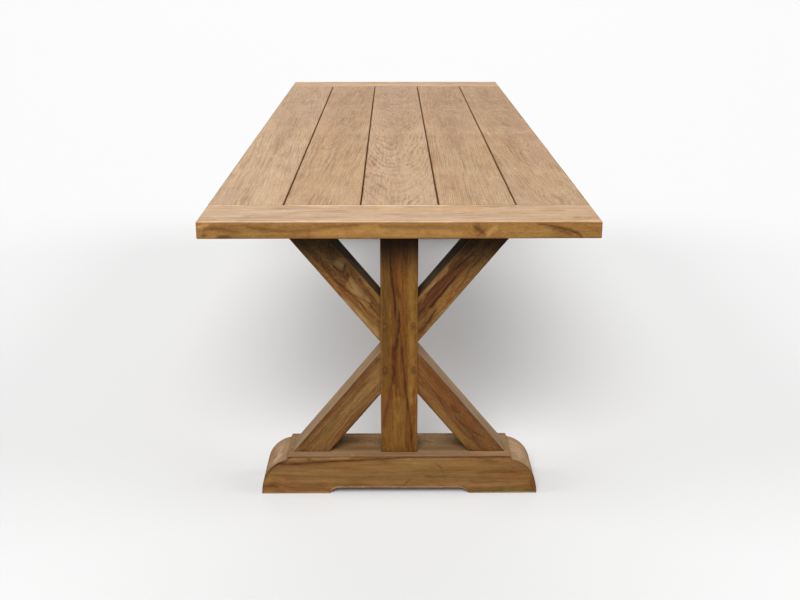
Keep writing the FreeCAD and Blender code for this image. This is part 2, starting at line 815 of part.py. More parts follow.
def bearer(end):
    """The flat bearer on the head of a trestle. The tenons of the post and the two upper
    struts come through it."""
    body = new_body(f"bearer_{end}")
    low = "bearer_underside"
    bevel = "bearer_half - bearer_bevel"
    side = sketch_on(body, "XZ_Plane", "side")
    bevelled_bar(side, "bearer_half", bevel, low, "underside - bearer_nose", "underside")
    pad(body, side, "bearer_depth", both_ways=True)

    mortise = sketch_on(body, "XZ_Plane", "post_mortise")
    across = "head_tenon_size / 2 + fit_gap"
    rectangle(mortise, f"-({across})", across, low, "underside")
    pocket(body, mortise, "head_tenon_size + 2 * fit_gap", both_ways=True)

    strut_mortises = sketch_on(body, "XZ_Plane", "strut_mortises")
    spread = "strut_head_tenon_width / 2 + fit_gap"
    for _, hand in SIDES:
        middle = f"{hand} * strut_head_x"
        rectangle(strut_mortises, f"{middle} - ({spread})", f"{middle} + {spread}", low, "underside")
    pocket(body, strut_mortises, "mortise_thickness", both_ways=True)

    screw_holes = sketch_on(body, "XY_Plane", "screw_holes", low)
    for _, hand in SIDES:
        circle(screw_holes, f"{hand} * bearer_screw_x", "0", "screw_hole")
    pocket(body, screw_holes, "bearer_thickness", backwards=True)
    place_on_trestle(body, end)
    return body


def bearer_screws(end):
    """Coach screws up through the ends of the bearer into the breadboard end."""
    spots = [(f"{hand} * bearer_screw_x", "0", "bearer_underside") for _, hand in SIDES]
    group = coach_screws(f"bearer_screws_{end}", "bearer_thickness + bearer_screw_bite", spots)
    place_on_trestle(group, end)
    return group


# --------------------------------------------------------------------- the stretcher

def stretcher():
    """The rail between the two posts, with a tenon at each end."""
    body = new_body("stretcher")
    half = "stretcher_width / 2"
    end = "stretcher_length / 2"

    rail = sketch_on(body, "XY_Plane", "rail")
    rectangle(rail, f"-{half}", half, f"-{end}", end)
    pad(body, rail, "stretcher_height", both_ways=True)

    tenons = sketch_on(body, "XY_Plane", "tenons")
    across = "stretcher_tenon_thickness / 2"
    reach = f"{end} + stretcher_tenon_length"
    rectangle(tenons, f"-{across}", across, f"-({reach})", reach)
    pad(body, tenons, "stretcher_tenon_height", both_ways=True)

    peg_holes = sketch_on(body, "YZ_Plane", "peg_holes")
    for way in ("-", ""):
        circle(peg_holes, f"{way}({end} + stretcher_peg_setback)", "0", "peg_hole")
    pocket(body, peg_holes, "stretcher_width", both_ways=True)

    long_edges = straight_edges(body, FreeCAD.Vector(0, 1, 0), value(end))
    soften(body, long_edges, "stretcher_arris")
    place(body, up="crossing_height")
    return body


def stretcher_peg(end):
    """The peg from the side of a post through the tenon of the stretcher."""
    spots = [("post_width / 2", "stretcher_peg_y", "crossing_height")]
    group = pegs(f"stretcher_peg_{end}", "stretcher_peg_length", spots, "left")
    place_on_trestle(group, end)
    return group


# ------------------------------------------------------------------- the whole table

parts = [top_board(number) for number in range(1, BOARD_COUNT + 1)]
parts += [board_spline(number) for number in range(1, BOARD_COUNT)]
parts += [batten(name, along) for name, along in batten_places()]
parts.append(stretcher())
for end in ENDS:
    parts += [breadboard(end), breadboard_pegs(end)]
    parts += [foot(end), post(end), bearer(end)]
    parts += [strut(row, end, *side) for row in ("upper", "lower") for side in SIDES]
    parts += [strut_pegs(end), foot_peg(end), stretcher_peg(end), bearer_screws(end)]
document.recompute()


def check(part):
    """A sub-part has to hold a sound shape before anything is written."""
    if part.Shape.isNull() or not part.Shape.isValid() or not part.Shape.Solids:
        raise ValueError(f"{part.Label} has no sound shape")


for item in document.Objects:
    if {"Invalid", "Error"} & set(item.State):
        raise ValueError(f"{item.Label} failed: {item.State}")
for part in parts:
    check(part)

os.makedirs("parts", exist_ok=True)
for part in parts:
    part.Shape.exportStep(os.path.join("parts", f"{part.Label}.step"))
print(len(parts), "sub-parts,", sum(len(part.Shape.Solids) for part in parts), "solids")
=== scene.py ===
"""The looks of a long sawbuck table in bare, weathered teak.

Metres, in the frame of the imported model: X across the table, Y along it, Z up. "Near" is
the end at -Y. Every timber is a swept mesh with its own worn arrises, and it carries four
marks for its material: "grain", a point's place in the log in metres (x along the grain,
y and z from the pith), "place", its place in the timber itself (x along, y across,
z through), "arris", which is 1 on an edge and 0 on a flat, and "end_grain", which is 1 on
the faces cut across the grain.
"""

import math
import random

import bmesh
import bpy
import numpy as np
from mathutils import Matrix, Vector, noise


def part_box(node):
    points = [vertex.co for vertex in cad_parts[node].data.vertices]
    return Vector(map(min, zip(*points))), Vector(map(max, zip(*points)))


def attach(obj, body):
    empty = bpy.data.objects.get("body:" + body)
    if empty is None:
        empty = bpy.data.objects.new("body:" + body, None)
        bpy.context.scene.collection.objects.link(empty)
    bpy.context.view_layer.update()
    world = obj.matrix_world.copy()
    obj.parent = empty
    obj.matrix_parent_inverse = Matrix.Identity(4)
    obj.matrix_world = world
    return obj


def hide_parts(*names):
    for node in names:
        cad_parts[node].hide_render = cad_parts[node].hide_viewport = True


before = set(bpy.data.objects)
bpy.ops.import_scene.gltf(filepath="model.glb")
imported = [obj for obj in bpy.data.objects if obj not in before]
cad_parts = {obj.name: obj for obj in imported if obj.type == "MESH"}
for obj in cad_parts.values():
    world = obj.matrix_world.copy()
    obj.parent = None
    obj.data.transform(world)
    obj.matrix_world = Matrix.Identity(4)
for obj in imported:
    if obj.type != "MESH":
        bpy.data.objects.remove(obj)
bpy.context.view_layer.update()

# ------------------------------------------------------------------- places and sizes

X, Y, Z = Vector((1, 0, 0)), Vector((0, 1, 0)), Vector((0, 0, 1))
BODY = "root"
ENDS = ("near", "far")
HANDS = (("left", -1), ("right", 1))
BOARDS = (1, 2, 3, 4, 5)
MM = 0.001


def low(node):
    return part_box(node)[0]


def high(node):
    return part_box(node)[1]


TOP_FACE = high("breadboard_near").z
UNDERSIDE = low("breadboard_near").z
JOINT_Y = -high("breadboard_near").y
TRESTLE_Y = -(low("foot_near").y + high("foot_near").y) / 2
BEARER_UNDERSIDE = low("bearer_near").z
FOOT_TOP = high("foot_near").z
FOOT_HALF = high("foot_near").x
FOOT_DEPTH = high("foot_near").y - low("foot_near").y
POST_HALF = high("post_near").x
STRUT_DEPTH = high("upper_strut_left_near").y - low("upper_strut_left_near").y

STRUT_WIDTHS = {"upper": 0.0785, "lower": 0.0755}
BATTEN_BEVEL = 0.03
BATTEN_RISE = 0.016
BEARER_BEVEL = 0.014
BEARER_RISE = 0.01

# The side view of a foot: how far its outline leans from upright at the toe, where the
# shoulder starts and at its crest, then the step, the plateau and the relief below.
TOE_LEAN = math.radians(1)
TURN_LEAN = math.radians(17)
CREST_LEAN = math.radians(77)
SHOULDER_RADIUS = 0.08
FOOT_STEP = 0.01
STEP_SLANT = 0.003
PLATEAU_INSET = 0.072
PAD_LENGTH = 0.182
RELIEF_HEIGHT = 0.016
COVE_RADIUS = 0.031
STEP_FILLET = 0.0015
PLATEAU_ROUND = 0.0025
FOOT_ARRIS = 0.0032
FACE_MARGIN = 0.011
# The shoulder of the foot is waney in front and to the left of here, above this height.
WANEY_FROM = -0.285
WANEY_FADE = 0.04
WANEY_ABOVE = 0.05
ON_FLOOR = 0.0005
FACE_ROWS = 9
CHECK_WIDTH = 0.0022
CHECK_DEPTH = 0.006

PEG_RADIUS = 0.005
PEG_PROUD = 0.001
# The domed head of a peg: depths from its middle, each with its share of the radius there.
PEG_HEAD = ((0.0, 0.0), (0.0001, 0.45), (0.0004, 0.8), (0.0011, 0.98), (0.003, 1.0))
PEG_TAPER = 0.93
PEG_SEEDS = {"face": 201, "toe": 211, "tenon": 221, "blind": 231}
SHANK_RADIUS = 0.004
HEXAGON_SIDE = math.pi / 3

# How far a timber's end goes into what it meets, how much is added above and below a flat
# timber, and how much slimmer than its node a board is.
BITE = 0.0004
SEAT = 0.0003
SEAM_EASE = 0.0003


# ---------------------------------------------------------------------- mesh making

ARRIS_FADE = 0.007
CORNER_STEPS = 4
UNEVEN = 0.0004
SLIMMEST_ARRIS = 0.0006
NICK_FROM = 0.35
NICK_DEPTH = 2.2
END_RINGS = (0.93, 0.72, 0.45, 0.2)


def wander(place, seed, size=1.0):
    """A smooth random number from -1 to 1 at a place, the same on every run."""
    return noise.noise(place * size + Vector((seed * 7.13, seed * 3.71, seed * 5.37)))


def add_object(name, data):
    thing = bpy.data.objects.new(name, data)
    bpy.context.scene.collection.objects.link(thing)
    return thing


def new_piece(name, points, faces):
    """A new mesh piece with its faces turned outwards."""
    mesh = bpy.data.meshes.new(name)
    mesh.from_pydata([tuple(point) for point in points], [], faces)
    shaper = bmesh.new()
    shaper.from_mesh(mesh)
    bmesh.ops.recalc_face_normals(shaper, faces=shaper.faces)
    shaper.to_mesh(mesh)
    shaper.free()
    return add_object(name, mesh)


def band(first, second):
    """The faces between two rings of corners. A ring can be a single corner."""
    count = max(len(first), len(second))
    faces = []
    for i in range(count):
        j = (i + 1) % count
        lower = (first[i % len(first)], first[j % len(first)])
        upper = (second[j % len(second)], second[i % len(second)])
        faces.append(tuple(dict.fromkeys(lower + upper)))
    return faces


def shade(mesh, sharp):
    """Shades a mesh smooth, with an edge kept where it turns by more than sharp degrees."""
    mesh.polygons.foreach_set("use_smooth", [True] * len(mesh.polygons))
    mesh.set_sharp_from_angle(angle=math.radians(sharp))


def mark_grain(piece, start, axes, half, shift=0.0, pith=(0.02, 0.02), lean=(0.0, 0.0), ends=()):
    """Writes the marks that a material reads. axes point along, across and through the
    timber, half is half its width and depth, and ends are the planes of its end grain."""
    mesh = piece.data
    spots = np.empty(len(mesh.vertices) * 3)
    mesh.vertices.foreach_get("co", spots)
    place = (spots.reshape(-1, 3) - np.array(start)) @ np.array([tuple(axis) for axis in axes]).T
    u, v, w = place.T
    grain = np.stack((u + shift, v - pith[0] - lean[0] * u, w - pith[1] - lean[1] * u), axis=1)
    near_side = 1 - np.clip((half[0] - np.abs(v)) / ARRIS_FADE, 0, 1)
    near_face = 1 - np.clip((half[1] - np.abs(w)) / ARRIS_FADE, 0, 1)
    arris = np.clip(1.6 * near_side * near_face, 0, 1)
    end_grain = np.zeros(len(mesh.polygons))
    for spot, normal in ends:
        for number, face in enumerate(mesh.polygons):
            off = abs((face.center - spot).dot(normal)) / normal.length
            if off < 0.002 and abs(face.normal.dot(normal)) > 0.8 * normal.length:
                end_grain[number] = 1
    for label, kind, domain, key, values in (
        ("grain", "FLOAT_VECTOR", "POINT", "vector", grain),
        ("place", "FLOAT_VECTOR", "POINT", "vector", place),
        ("arris", "FLOAT", "POINT", "value", arris),
        ("end_grain", "FLOAT", "FACE", "value", end_grain),
    ):
        layer = mesh.attributes.new(label, kind, domain)
        layer.data.foreach_set(key, np.ascontiguousarray(values, np.float32).ravel())
    shade(mesh, 38)
    return piece


def fit(piece, material, slot, *nodes):
    """Finishes a piece: its material, the nodes it stands for and its body. The slot is not used."""
    if not piece.data.materials:
        piece.data.materials.append(material)
    piece.data.materials[0] = material
    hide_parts(*nodes)
    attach(piece, BODY)
    return piece


def arc_points(middle, radius, start, end, count):
    """Points on an arc. Its start and its end are in degrees."""
    angles = np.radians(np.linspace(start, end, count))
    return [(middle[0] + radius * math.cos(a), middle[1] + radius * math.sin(a)) for a in angles]


def line_points(start, end, count):
    """Points from start to end without the last one."""
    shares = np.arange(count) / count
    return [(start[0] + (end[0] - start[0]) * s, start[1] + (end[1] - start[1]) * s) for s in shares]


def section(left, right, bottom, top, radii, sides):
    """Points round a rectangle with rounded corners, counterclockwise from the right
    end of its top right corner. sides is how many points lie between the corners on the
    wide and on the deep sides."""
    corners = ((right, top, -1, -1), (left, top, 1, -1), (left, bottom, 1, 1), (right, bottom, -1, 1))
    arcs = []
    for number, (across, up, inward, downward) in enumerate(corners):
        radius, turn = radii[number], 90 * number
        middle = (across + inward * radius, up + downward * radius)
        arcs.append(arc_points(middle, radius, turn, turn + 90, CORNER_STEPS))
    points = []
    for number, arc in enumerate(arcs):
        following = arcs[(number + 1) % 4]
        count = sides[number % 2]
        points += arc
        start, end = Vector(arc[-1]), Vector(following[0])
        reach = (end - start).length
        edge = min(ARRIS_FADE, reach / 4)
        for step in range(count):
            distance = edge + (reach - 2 * edge) * step / (count - 1)
            points.append(tuple(start.lerp(end, distance / reach)))
    return points


def rows_along(length, spacing, ease):
    """Distances along a timber, each with how far the section is drawn in there to
    ease the arris of the end."""
    rounding = [(0.0, ease), (0.3 * ease, 0.3 * ease), (ease, 0.0)]
    count = max(2, round(length / spacing))
    flat = [(ease + (length - 2 * ease) * step / count, 0.0) for step in range(1, count)]
    return rounding + flat + [(length - distance, inset) for distance, inset in reversed(rounding)]


def bevelled_ends(length, bevel, rise):
    """How far the lower side of a timber is raised towards both its ends."""
    return lambda u: rise * max(0.0, 1 - min(u, length - u) / bevel)


def timber(
    name, start, along, across, length, width, depth, radii=(0.003,) * 4, trims=None, lift=None,
    pith=(0.02, -0.12), lean=(0.0, 0.0), shift=0.0, seed=1, ease=0.0012, spacing=0.02,
    side_spacing=0.012, worn=0.45,
):
    """A straight timber from the middle of its first end. trims are the planes of its
    two ends, as a point and a normal each. lift gives how far its lower side is raised
    at a distance along it. radii are those of its arrises, worn is how much they vary,
    and ease is how far the arrises of its ends are rounded."""
    through = along.cross(across)
    trims = trims or ((start, along), (start + along * length, along))
    sides = [max(2, round(size / side_spacing)) for size in (width, depth)]

    def reach(trim, v, w):
        """How far along a line of the timber an end's plane lies."""
        spot, normal = trim
        return ((spot - start - across * v - through * w).dot(normal)) / along.dot(normal)

    middle_length = reach(trims[1], 0, 0) - reach(trims[0], 0, 0)
    points, places, loops, faces = [], [], [], []

    def add(u, v, w):
        points.append(start + along * u + across * v + through * w)
        places.append((u, v, w))
        return len(points) - 1

    for distance, inset in rows_along(middle_length, spacing, ease):
        share = distance / middle_length
        u_middle = reach(trims[0], 0, 0) + distance
        sizes = []
        for corner, radius in enumerate(radii):
            swing = wander(Vector((u_middle * 5, corner * 3.1, 0)), seed)
            nick = wander(Vector((u_middle * 23, corner * 5.3, 1)), seed) - NICK_FROM
            nick = max(0.0, nick) * NICK_DEPTH
            sizes.append(max(SLIMMEST_ARRIS, radius * (1 + worn * swing + worn * nick)))
        raised = lift(u_middle) if lift else 0.0
        side, face = width / 2 - inset, depth / 2 - inset
        loop = []
        for v, w in section(-side, side, -depth / 2 + inset + raised, face, sizes, sides):
            first, last = reach(trims[0], v, w), reach(trims[1], v, w)
            u = first + (last - first) * share
            place = Vector((u, v, w))
            off = max(abs(v), abs(w), 0.02)
            swell = 1 + UNEVEN * wander(place, seed, 6) / off
            swell += 0.35 * UNEVEN * wander(place, seed + 3, 31) / off
            loop.append(add(u, v * swell, w * swell))
        loops.append(loop)
    for first, second in zip(loops, loops[1:]):
        faces += band(first, second)

    for loop, trim in ((loops[0], trims[0]), (loops[-1], trims[1])):
        outer = loop
        rim = [places[number] for number in loop]
        for scale in END_RINGS:
            inner = []
            for _, rim_v, rim_w in rim:
                v, w = rim_v * scale, rim_w * scale
                dent = 0.5 * UNEVEN * wander(Vector((v, w, scale)), seed + 5, 40)
                inner.append(add(reach(trim, v, w) + dent, v, w))
            faces += band(outer, inner)
            outer = inner
        faces.append(tuple(outer))
    piece = new_piece(name, points, faces)
    axes = (along, across, through)
    return mark_grain(piece, start, axes, (width / 2, depth / 2), shift, pith, lean, trims)


# ----------------------------------------------------------------- a check in a timber

CUTTER_LIFT = 0.002
CUTTER_SPREAD = 1.4


def wedge(bm, spots, width, depth, normal):
    """A slim wedge along a crooked line on a surface, which narrows towards both ends."""
    rings = []
    last = len(spots) - 1
    for number, spot in enumerate(spots):
        share = math.sin(math.pi * (0.06 + 0.88 * number / last))
        ahead = spots[min(number + 1, last)] - spots[max(number - 1, 0)]
        side = ahead.cross(normal).normalized() * (width / 2 * share)
        rim = [spot + side * way + normal * CUTTER_LIFT for way in (CUTTER_SPREAD, -CUTTER_SPREAD)]
        rings.append([bm.verts.new(corner) for corner in (*rim, spot - normal * depth * share)])
    for first, second in zip(rings, rings[1:]):
        for corners in band(first, second):
            bm.faces.new(corners)
    bm.faces.new(rings[0])
    bm.faces.new(tuple(reversed(rings[-1])))


def carve(piece, spots, width, depth, normal):
    """Cuts a drying check into a piece. The walls of the check get a dark material, which
    becomes the piece's second one."""
    bm = bmesh.new()
    wedge(bm, spots, width, depth, normal)
    bmesh.ops.recalc_face_normals(bm, faces=bm.faces)
    mesh = bpy.data.meshes.new("cutter")
    bm.to_mesh(mesh)
    bm.free()
    mesh.materials.append(WALL)
    cutter = add_object("cutter", mesh)
    piece.data.materials.append(BLANK)
    tool = piece.modifiers.new("cut", "BOOLEAN")
    tool.operation = "DIFFERENCE"
    tool.solver = "EXACT"
    tool.material_mode = "TRANSFER"
    tool.object = cutter
    depsgraph = bpy.context.evaluated_depsgraph_get()
    shaped = bpy.data.meshes.new_from_object(piece.evaluated_get(depsgraph))
    piece.modifiers.clear()
    piece.data = shaped
    bpy.data.objects.remove(cutter)


# ------------------------------------------------------------------- node workbench

class Bench:
    """Puts nodes into one tree. An input is a socket, which gets linked, or a value."""

    def __init__(self, tree):
        self.nodes = tree.nodes
        self.links = tree.links

    def put(self, kind, inputs=None, **settings):
        node = self.nodes.new(kind)
        for name, setting in settings.items():
            setattr(node, name, setting)
        for key, source in (inputs or {}).items():
            if isinstance(source, bpy.types.NodeSocket):
                self.links.new(source, node.inputs[key])
            else:
                node.inputs[key].default_value = source
        return node

    def maths(self, operation, *terms, clamp=False):
        inputs = dict(enumerate(terms))
        return self.put("ShaderNodeMath", inputs, operation=operation, use_clamp=clamp).outputs[0]

    def times(self, first, second):
        return self.maths("MULTIPLY", first, second)

    def plus(self, value, share, base, clamp=False):
        """Adds a share of a value to a base."""
        return self.maths("MULTIPLY_ADD", value, share, base, clamp=clamp)

    def sway(self, value, share, base, middle=0.5):
        """Adds to a base a share of how far a value is off its middle."""
        return self.plus(self.maths("SUBTRACT", value, middle), share, base)

    def distance(self, first, second):
        """The length of a line from how far it goes two ways."""
        square = self.maths("ADD", self.times(first, first), self.times(second, second))
        return self.maths("SQRT", square)

    def stretch(self, vector, scale):
        inputs = {0: vector, 1: scale}
        return self.put("ShaderNodeVectorMath", inputs, operation="MULTIPLY").outputs[0]

    def grit(self, vector, scale, detail=3.0, roughness=0.55, distortion=0.0):
        """Noise from 0 to 1."""
        inputs = {"Vector": vector, "Scale": scale, "Detail": detail, "Roughness": roughness}
        return self.put("ShaderNodeTexNoise", inputs | {"Distortion": distortion}).outputs["Fac"]

    def drawn(self, vector, along, across, detail=3.0, roughness=0.55, distortion=0.0, scale=1.0):
        """Noise of one fineness along the grain and of another across it."""
        stretched = self.stretch(vector, (along, across, across))
        return self.grit(stretched, scale, detail, roughness, distortion)

    def between(self, factor, low_end, high_end, start=0.0, end=1.0):
        """Start below one value, end above another, and a smooth step between them."""
        inputs = {"Value": factor, "From Min": low_end, "From Max": high_end}
        inputs |= {"To Min": start, "To Max": end}
        node = self.put("ShaderNodeMapRange", inputs, interpolation_type="SMOOTHSTEP", clamp=True)
        return node.outputs["Result"]

    def blend(self, factor, first, second, way="MIX"):
        inputs = {0: factor, 6: first, 7: second}
        settings = {"data_type": "RGBA", "blend_type": way, "clamp_factor": True}
        return self.put("ShaderNodeMix", inputs, **settings).outputs[2]

    def darken(self, colour, mask, strength, to):
        """Brings a colour towards another where a mask is."""
        return self.blend(self.times(mask, strength), colour, to)

    def mark(self, label, output):
        """A mark that the mesh carries."""
        return self.put("ShaderNodeAttribute", attribute_name=label).outputs[output]

    def split(self, vector):
        return self.put("ShaderNodeSeparateXYZ", {0: vector}).outputs

    def join(self, x, y, z):
        return self.put("ShaderNodeCombineXYZ", {0: x, 1: y, 2: z}).outputs[0]


def node_group(name, inputs, outputs):
    """An empty group. Returns its tree, a bench in it, its inputs by name, and a
    function that links a socket to one of its outputs."""
    tree = bpy.data.node_groups.new(name, "ShaderNodeTree")
    for label, kind, value in inputs:
        socket = tree.interface.new_socket(label, in_out="INPUT", socket_type=kind)
        if value is not None:
            socket.default_value = value
    for label, kind in outputs:
        tree.interface.new_socket(label, in_out="OUTPUT", socket_type=kind)
    bench = Bench(tree)
    given = bench.put("NodeGroupInput").outputs
    result = bench.put("NodeGroupOutput")

    def send(label, socket):
        bench.links.new(socket, result.inputs[label])

    return tree, bench, given, send


NUMBER, VECTOR = "NodeSocketFloat", "NodeSocketVector"
STREAK_FADE = 0.012
CURVE_MARGIN = 0.001
# How far below the bearers the painted shade under the top reaches.
PAINTED_SHADE_DEPTH = 0.13
ROUGHNESS = 0.7
SHINE = 0.12
MIDDLE_FIGURE = 0.35


def growth_rings():
    """The yearly rings of the log, wavering along it, as dark lines from 0 to 1, and a
    slow change of tone from ring to ring."""
    tree, bench, given, send = node_group(
        "Growth rings",
        (("Grain", VECTOR, None), ("Ring Width", NUMBER, 0.004), ("Waver", NUMBER, 0.02)),
        (("Rings", NUMBER), ("Tone", NUMBER)),
    )
    log = given["Grain"]
    sweep = bench.drawn(log, 1.6, 2.0, 2.0)
    dip = bench.drawn(log, 2.3, 3.0, 2.0, scale=1.7)
    ripple = bench.drawn(log, 6.0, 34.0, 4.0, 0.6)
    crinkle = bench.drawn(log, 50.0, 160.0, 2.0)
    place = bench.split(log)
    y = bench.sway(sweep, given["Waver"], place["Y"])
    z = bench.sway(dip, given["Waver"], place["Z"])
    years = bench.maths("DIVIDE", bench.distance(y, z), given["Ring Width"])
    years = bench.plus(ripple, 0.8, years)
    years = bench.plus(crinkle, 0.16, years)
    part = bench.maths("FRACT", years)
    rise, fall = bench.between(part, 0.45, 0.88), bench.between(part, 0.88, 1.0)
    line = bench.maths("SUBTRACT", rise, fall, clamp=True)
    shown = bench.drawn(log, 7.0, 24.0, 3.0, 0.6)
    send("Rings", bench.times(line, bench.between(shown, 0.36, 0.64, 0.15, 1.0)))
    send("Tone", bench.grit(bench.join(bench.times(years, 0.37), 0.0, 0.0), 1.0, 3.0))
    return tree


# What a group of masks puts out: a name, how fine the noise is along and across the grain,
# its detail, roughness, distortion and scale, and where the mask starts and where it is full.
FIBRES = (
    ("Bands", 2.2, 46.0, 3.0, 0.5, 0.5, 1.0, 0.36, 0.64),
    ("Streaks", 9.0, 150.0, 4.0, 0.62, 0.3, 1.0, 0.4, 0.66),
    ("Fibres", 28.0, 520.0, 3.0, 0.6, 0.0, 1.0, 0.35, 0.66),
    ("Pores", 80.0, 1150.0, 2.0, 0.5, 0.0, 1.0, 0.56, 0.68),
)
PATCHES = (
    ("Warm", 3.2, 11.0, 3.0, 0.55, 0.4, 1.0, 0.38, 0.64),
    ("Dark", 5.5, 22.0, 4.0, 0.62, 0.6, 1.0, 0.5, 0.72),
    ("Rosy", 4.5, 15.0, 3.0, 0.55, 0.8, 1.3, 0.5, 0.68),
    ("Pale", 7.0, 17.0, 4.0, 0.6, 0.8, 1.7, 0.48, 0.7),
    ("Mottle", 110.0, 270.0, 3.0, 0.7, 0.5, 1.0, 0.32, 0.68),
)


def masks(name, rows):
    """A group of masks drawn out along the grain, from the rows of a table above."""
    outputs = [(row[0], NUMBER) for row in rows]
    tree, bench, given, send = node_group(name, (("Grain", VECTOR, None),), outputs)
    for label, *fineness, start, full in rows:
        send(label, bench.between(bench.drawn(given["Grain"], *fineness), start, full))
    return tree


def knot():
    """A knot that the grain flows round. It bends the grain that goes through it."""
    tree, bench, given, send = node_group(
        "Knot",
        (
            ("Grain", VECTOR, None), ("Place", VECTOR, None),
            ("Along", NUMBER, 0.0), ("Across", NUMBER, 0.0), ("Size", NUMBER, 0.01),
        ),
        (("Grain", VECTOR), ("Core", NUMBER), ("Rim", NUMBER), ("Halo", NUMBER)),
    )
    place = bench.split(given["Place"])
    u = bench.times(bench.maths("SUBTRACT", place["X"], given["Along"]), 0.62)
    v = bench.maths("SUBTRACT", place["Y"], given["Across"])
    distance = bench.maths("DIVIDE", bench.distance(u, v), given["Size"])
    near = bench.sway(bench.grit(given["Place"], 130.0, 3.0, 0.6), 1.3, distance)
    send("Core", bench.between(near, 0.55, 0.9, 1.0, 0.0))
    rim = bench.maths("ABSOLUTE", bench.maths("SUBTRACT", near, 1.0))
    send("Rim", bench.between(rim, 0.1, 0.4, 1.0, 0.0))
    halo = bench.maths("POWER", math.e, bench.times(bench.times(near, near), -0.16))
    send("Halo", halo)
    bulge = bench.times(bench.times(halo, given["Size"]), 2.2)
    push = bench.join(0.0, 0.0, bulge)
    send("Grain", bench.put("ShaderNodeVectorMath", {0: given["Grain"], 1: push}).outputs[0])
    return tree


def streak_mask():
    """Where a streak of colour lies, from how far a point is off its line."""
    tree, bench, given, send = node_group(
        "Streak mask",
        (
            ("Place", VECTOR, None), ("Line", NUMBER, 0.0), ("Width", NUMBER, 0.003),
            ("First", NUMBER, 0.0), ("Last", NUMBER, 0.3),
        ),
        (("Streak", NUMBER), ("Halo", NUMBER)),
    )
    place = bench.split(given["Place"])
    fading = bench.drawn(given["Place"], 34.0, 60.0)
    wind = bench.drawn(given["Place"], 60.0, 12.0)
    torn = bench.drawn(given["Place"], 45.0, 420.0, 4.0, 0.65)
    off = bench.sway(wind, 0.004, bench.maths("SUBTRACT", place["Y"], given["Line"]))
    share = bench.maths("DIVIDE", bench.maths("ABSOLUTE", off), given["Width"])
    share = bench.sway(torn, 1.3, share)
    streak = bench.between(share, 0.1, 1.7, 1.0, 0.0)
    streak = bench.times(streak, bench.between(fading, 0.3, 0.6, 0.45, 1.0))
    halo = bench.between(share, 0.4, 4.2, 1.0, 0.0)
    start = bench.between(bench.maths("SUBTRACT", place["X"], given["First"]), 0.0, STREAK_FADE)
    end = bench.between(bench.maths("SUBTRACT", given["Last"], place["X"]), 0.0, STREAK_FADE)
    length = bench.times(start, end)
    send("Streak", bench.times(streak, length))
    send("Halo", bench.times(halo, length))
    return tree


def weather_and_shade():
    """How far sun and rain have bleached a face: most on what looks up, in uneven
    patches, and not at all underneath. Scuffs are short pale scratches. Shelter is
    painted shade, full just under the bearers and gone a little lower down."""
    outputs = ("Bleached", "Top", "Side", "Front", "Scuffs", "Shelter", "Smooth")
    tree, bench, given, send = node_group(
        "Weather and Shade",
        (("Place", VECTOR, None), ("Full", NUMBER, 0.9)),
        [(label, NUMBER) for label in outputs],
    )
    place = given["Place"]
    facing = bench.split(bench.put("ShaderNodeNewGeometry").outputs["Normal"])
    send("Front", bench.between(bench.maths("ABSOLUTE", facing["Y"]), 0.5, 0.8))
    uneven = bench.drawn(place, 7.0, 16.0, 4.0, 0.6)
    open_face = bench.between(facing["Z"], 0.2, given["Full"])
    send("Bleached", bench.times(open_face, bench.between(uneven, 0.25, 0.6, 0.75, 1.0)))
    send("Top", open_face)
    send("Side", bench.maths("SUBTRACT", 1.0, open_face))
    # Painted shade under the top: darker the higher a point stands, up to just below the bearers.
    height = bench.split(bench.put("ShaderNodeTexCoord").outputs["Object"])["Z"]
    height = bench.sway(uneven, 0.03, height)
    deepest = BEARER_UNDERSIDE - 0.01
    send("Shelter", bench.between(height, BEARER_UNDERSIDE - PAINTED_SHADE_DEPTH, deepest))
    send("Smooth", bench.between(bench.drawn(place, 5.0, 13.0, 4.0, 0.6, 0.6, 1.4), 0.4, 0.6))
    scratch = bench.drawn(place, 24.0, 42.0, 5.0, 0.6, 1.2)
    edge = bench.maths("ABSOLUTE", bench.maths("SUBTRACT", scratch, 0.5))
    where = bench.times(bench.between(bench.drawn(place, 7.0, 11.0, 2.0), 0.46, 0.62), open_face)
    send("Scuffs", bench.times(bench.between(edge, 0.0, 0.012, 1.0, 0.0), where))
    return tree


def worn_arris():
    """Where an arris is rubbed pale, in broken lengths."""
    tree, bench, given, send = node_group(
        "Worn arris", (("Place", VECTOR, None), ("Arris", NUMBER, 0.0)), (("Worn", NUMBER),)
    )
    broken = bench.drawn(given["Place"], 22.0, 70.0, 3.0, 0.6)
    edge = bench.between(given["Arris"], 0.35, 0.95)
    send("Worn", bench.times(edge, bench.between(broken, 0.36, 0.6, 0.3, 1.0)))
    return tree


def tone(code):
    """A linear colour from its sRGB hex code."""
    shares = [int(code[i : i + 2], 16) / 255 for i in (0, 2, 4)]
    linear = [c / 12.92 if c <= 0.04045 else ((c + 0.055) / 1.055) ** 2.4 for c in shares]
    return (*linear, 1.0)


def palette(codes):
    """Colours by name, from their codes."""
    return {name: tone(code) for name, code in codes.items()}


GROUPS = {
    "rings": growth_rings(),
    "fibres": masks("Fibres", FIBRES),
    "knot": knot(),
    "streak": streak_mask(),
    "patches": masks("Patches", PATCHES),
    "weather_and_shade": weather_and_shade(),
    "worn": worn_arris(),
}

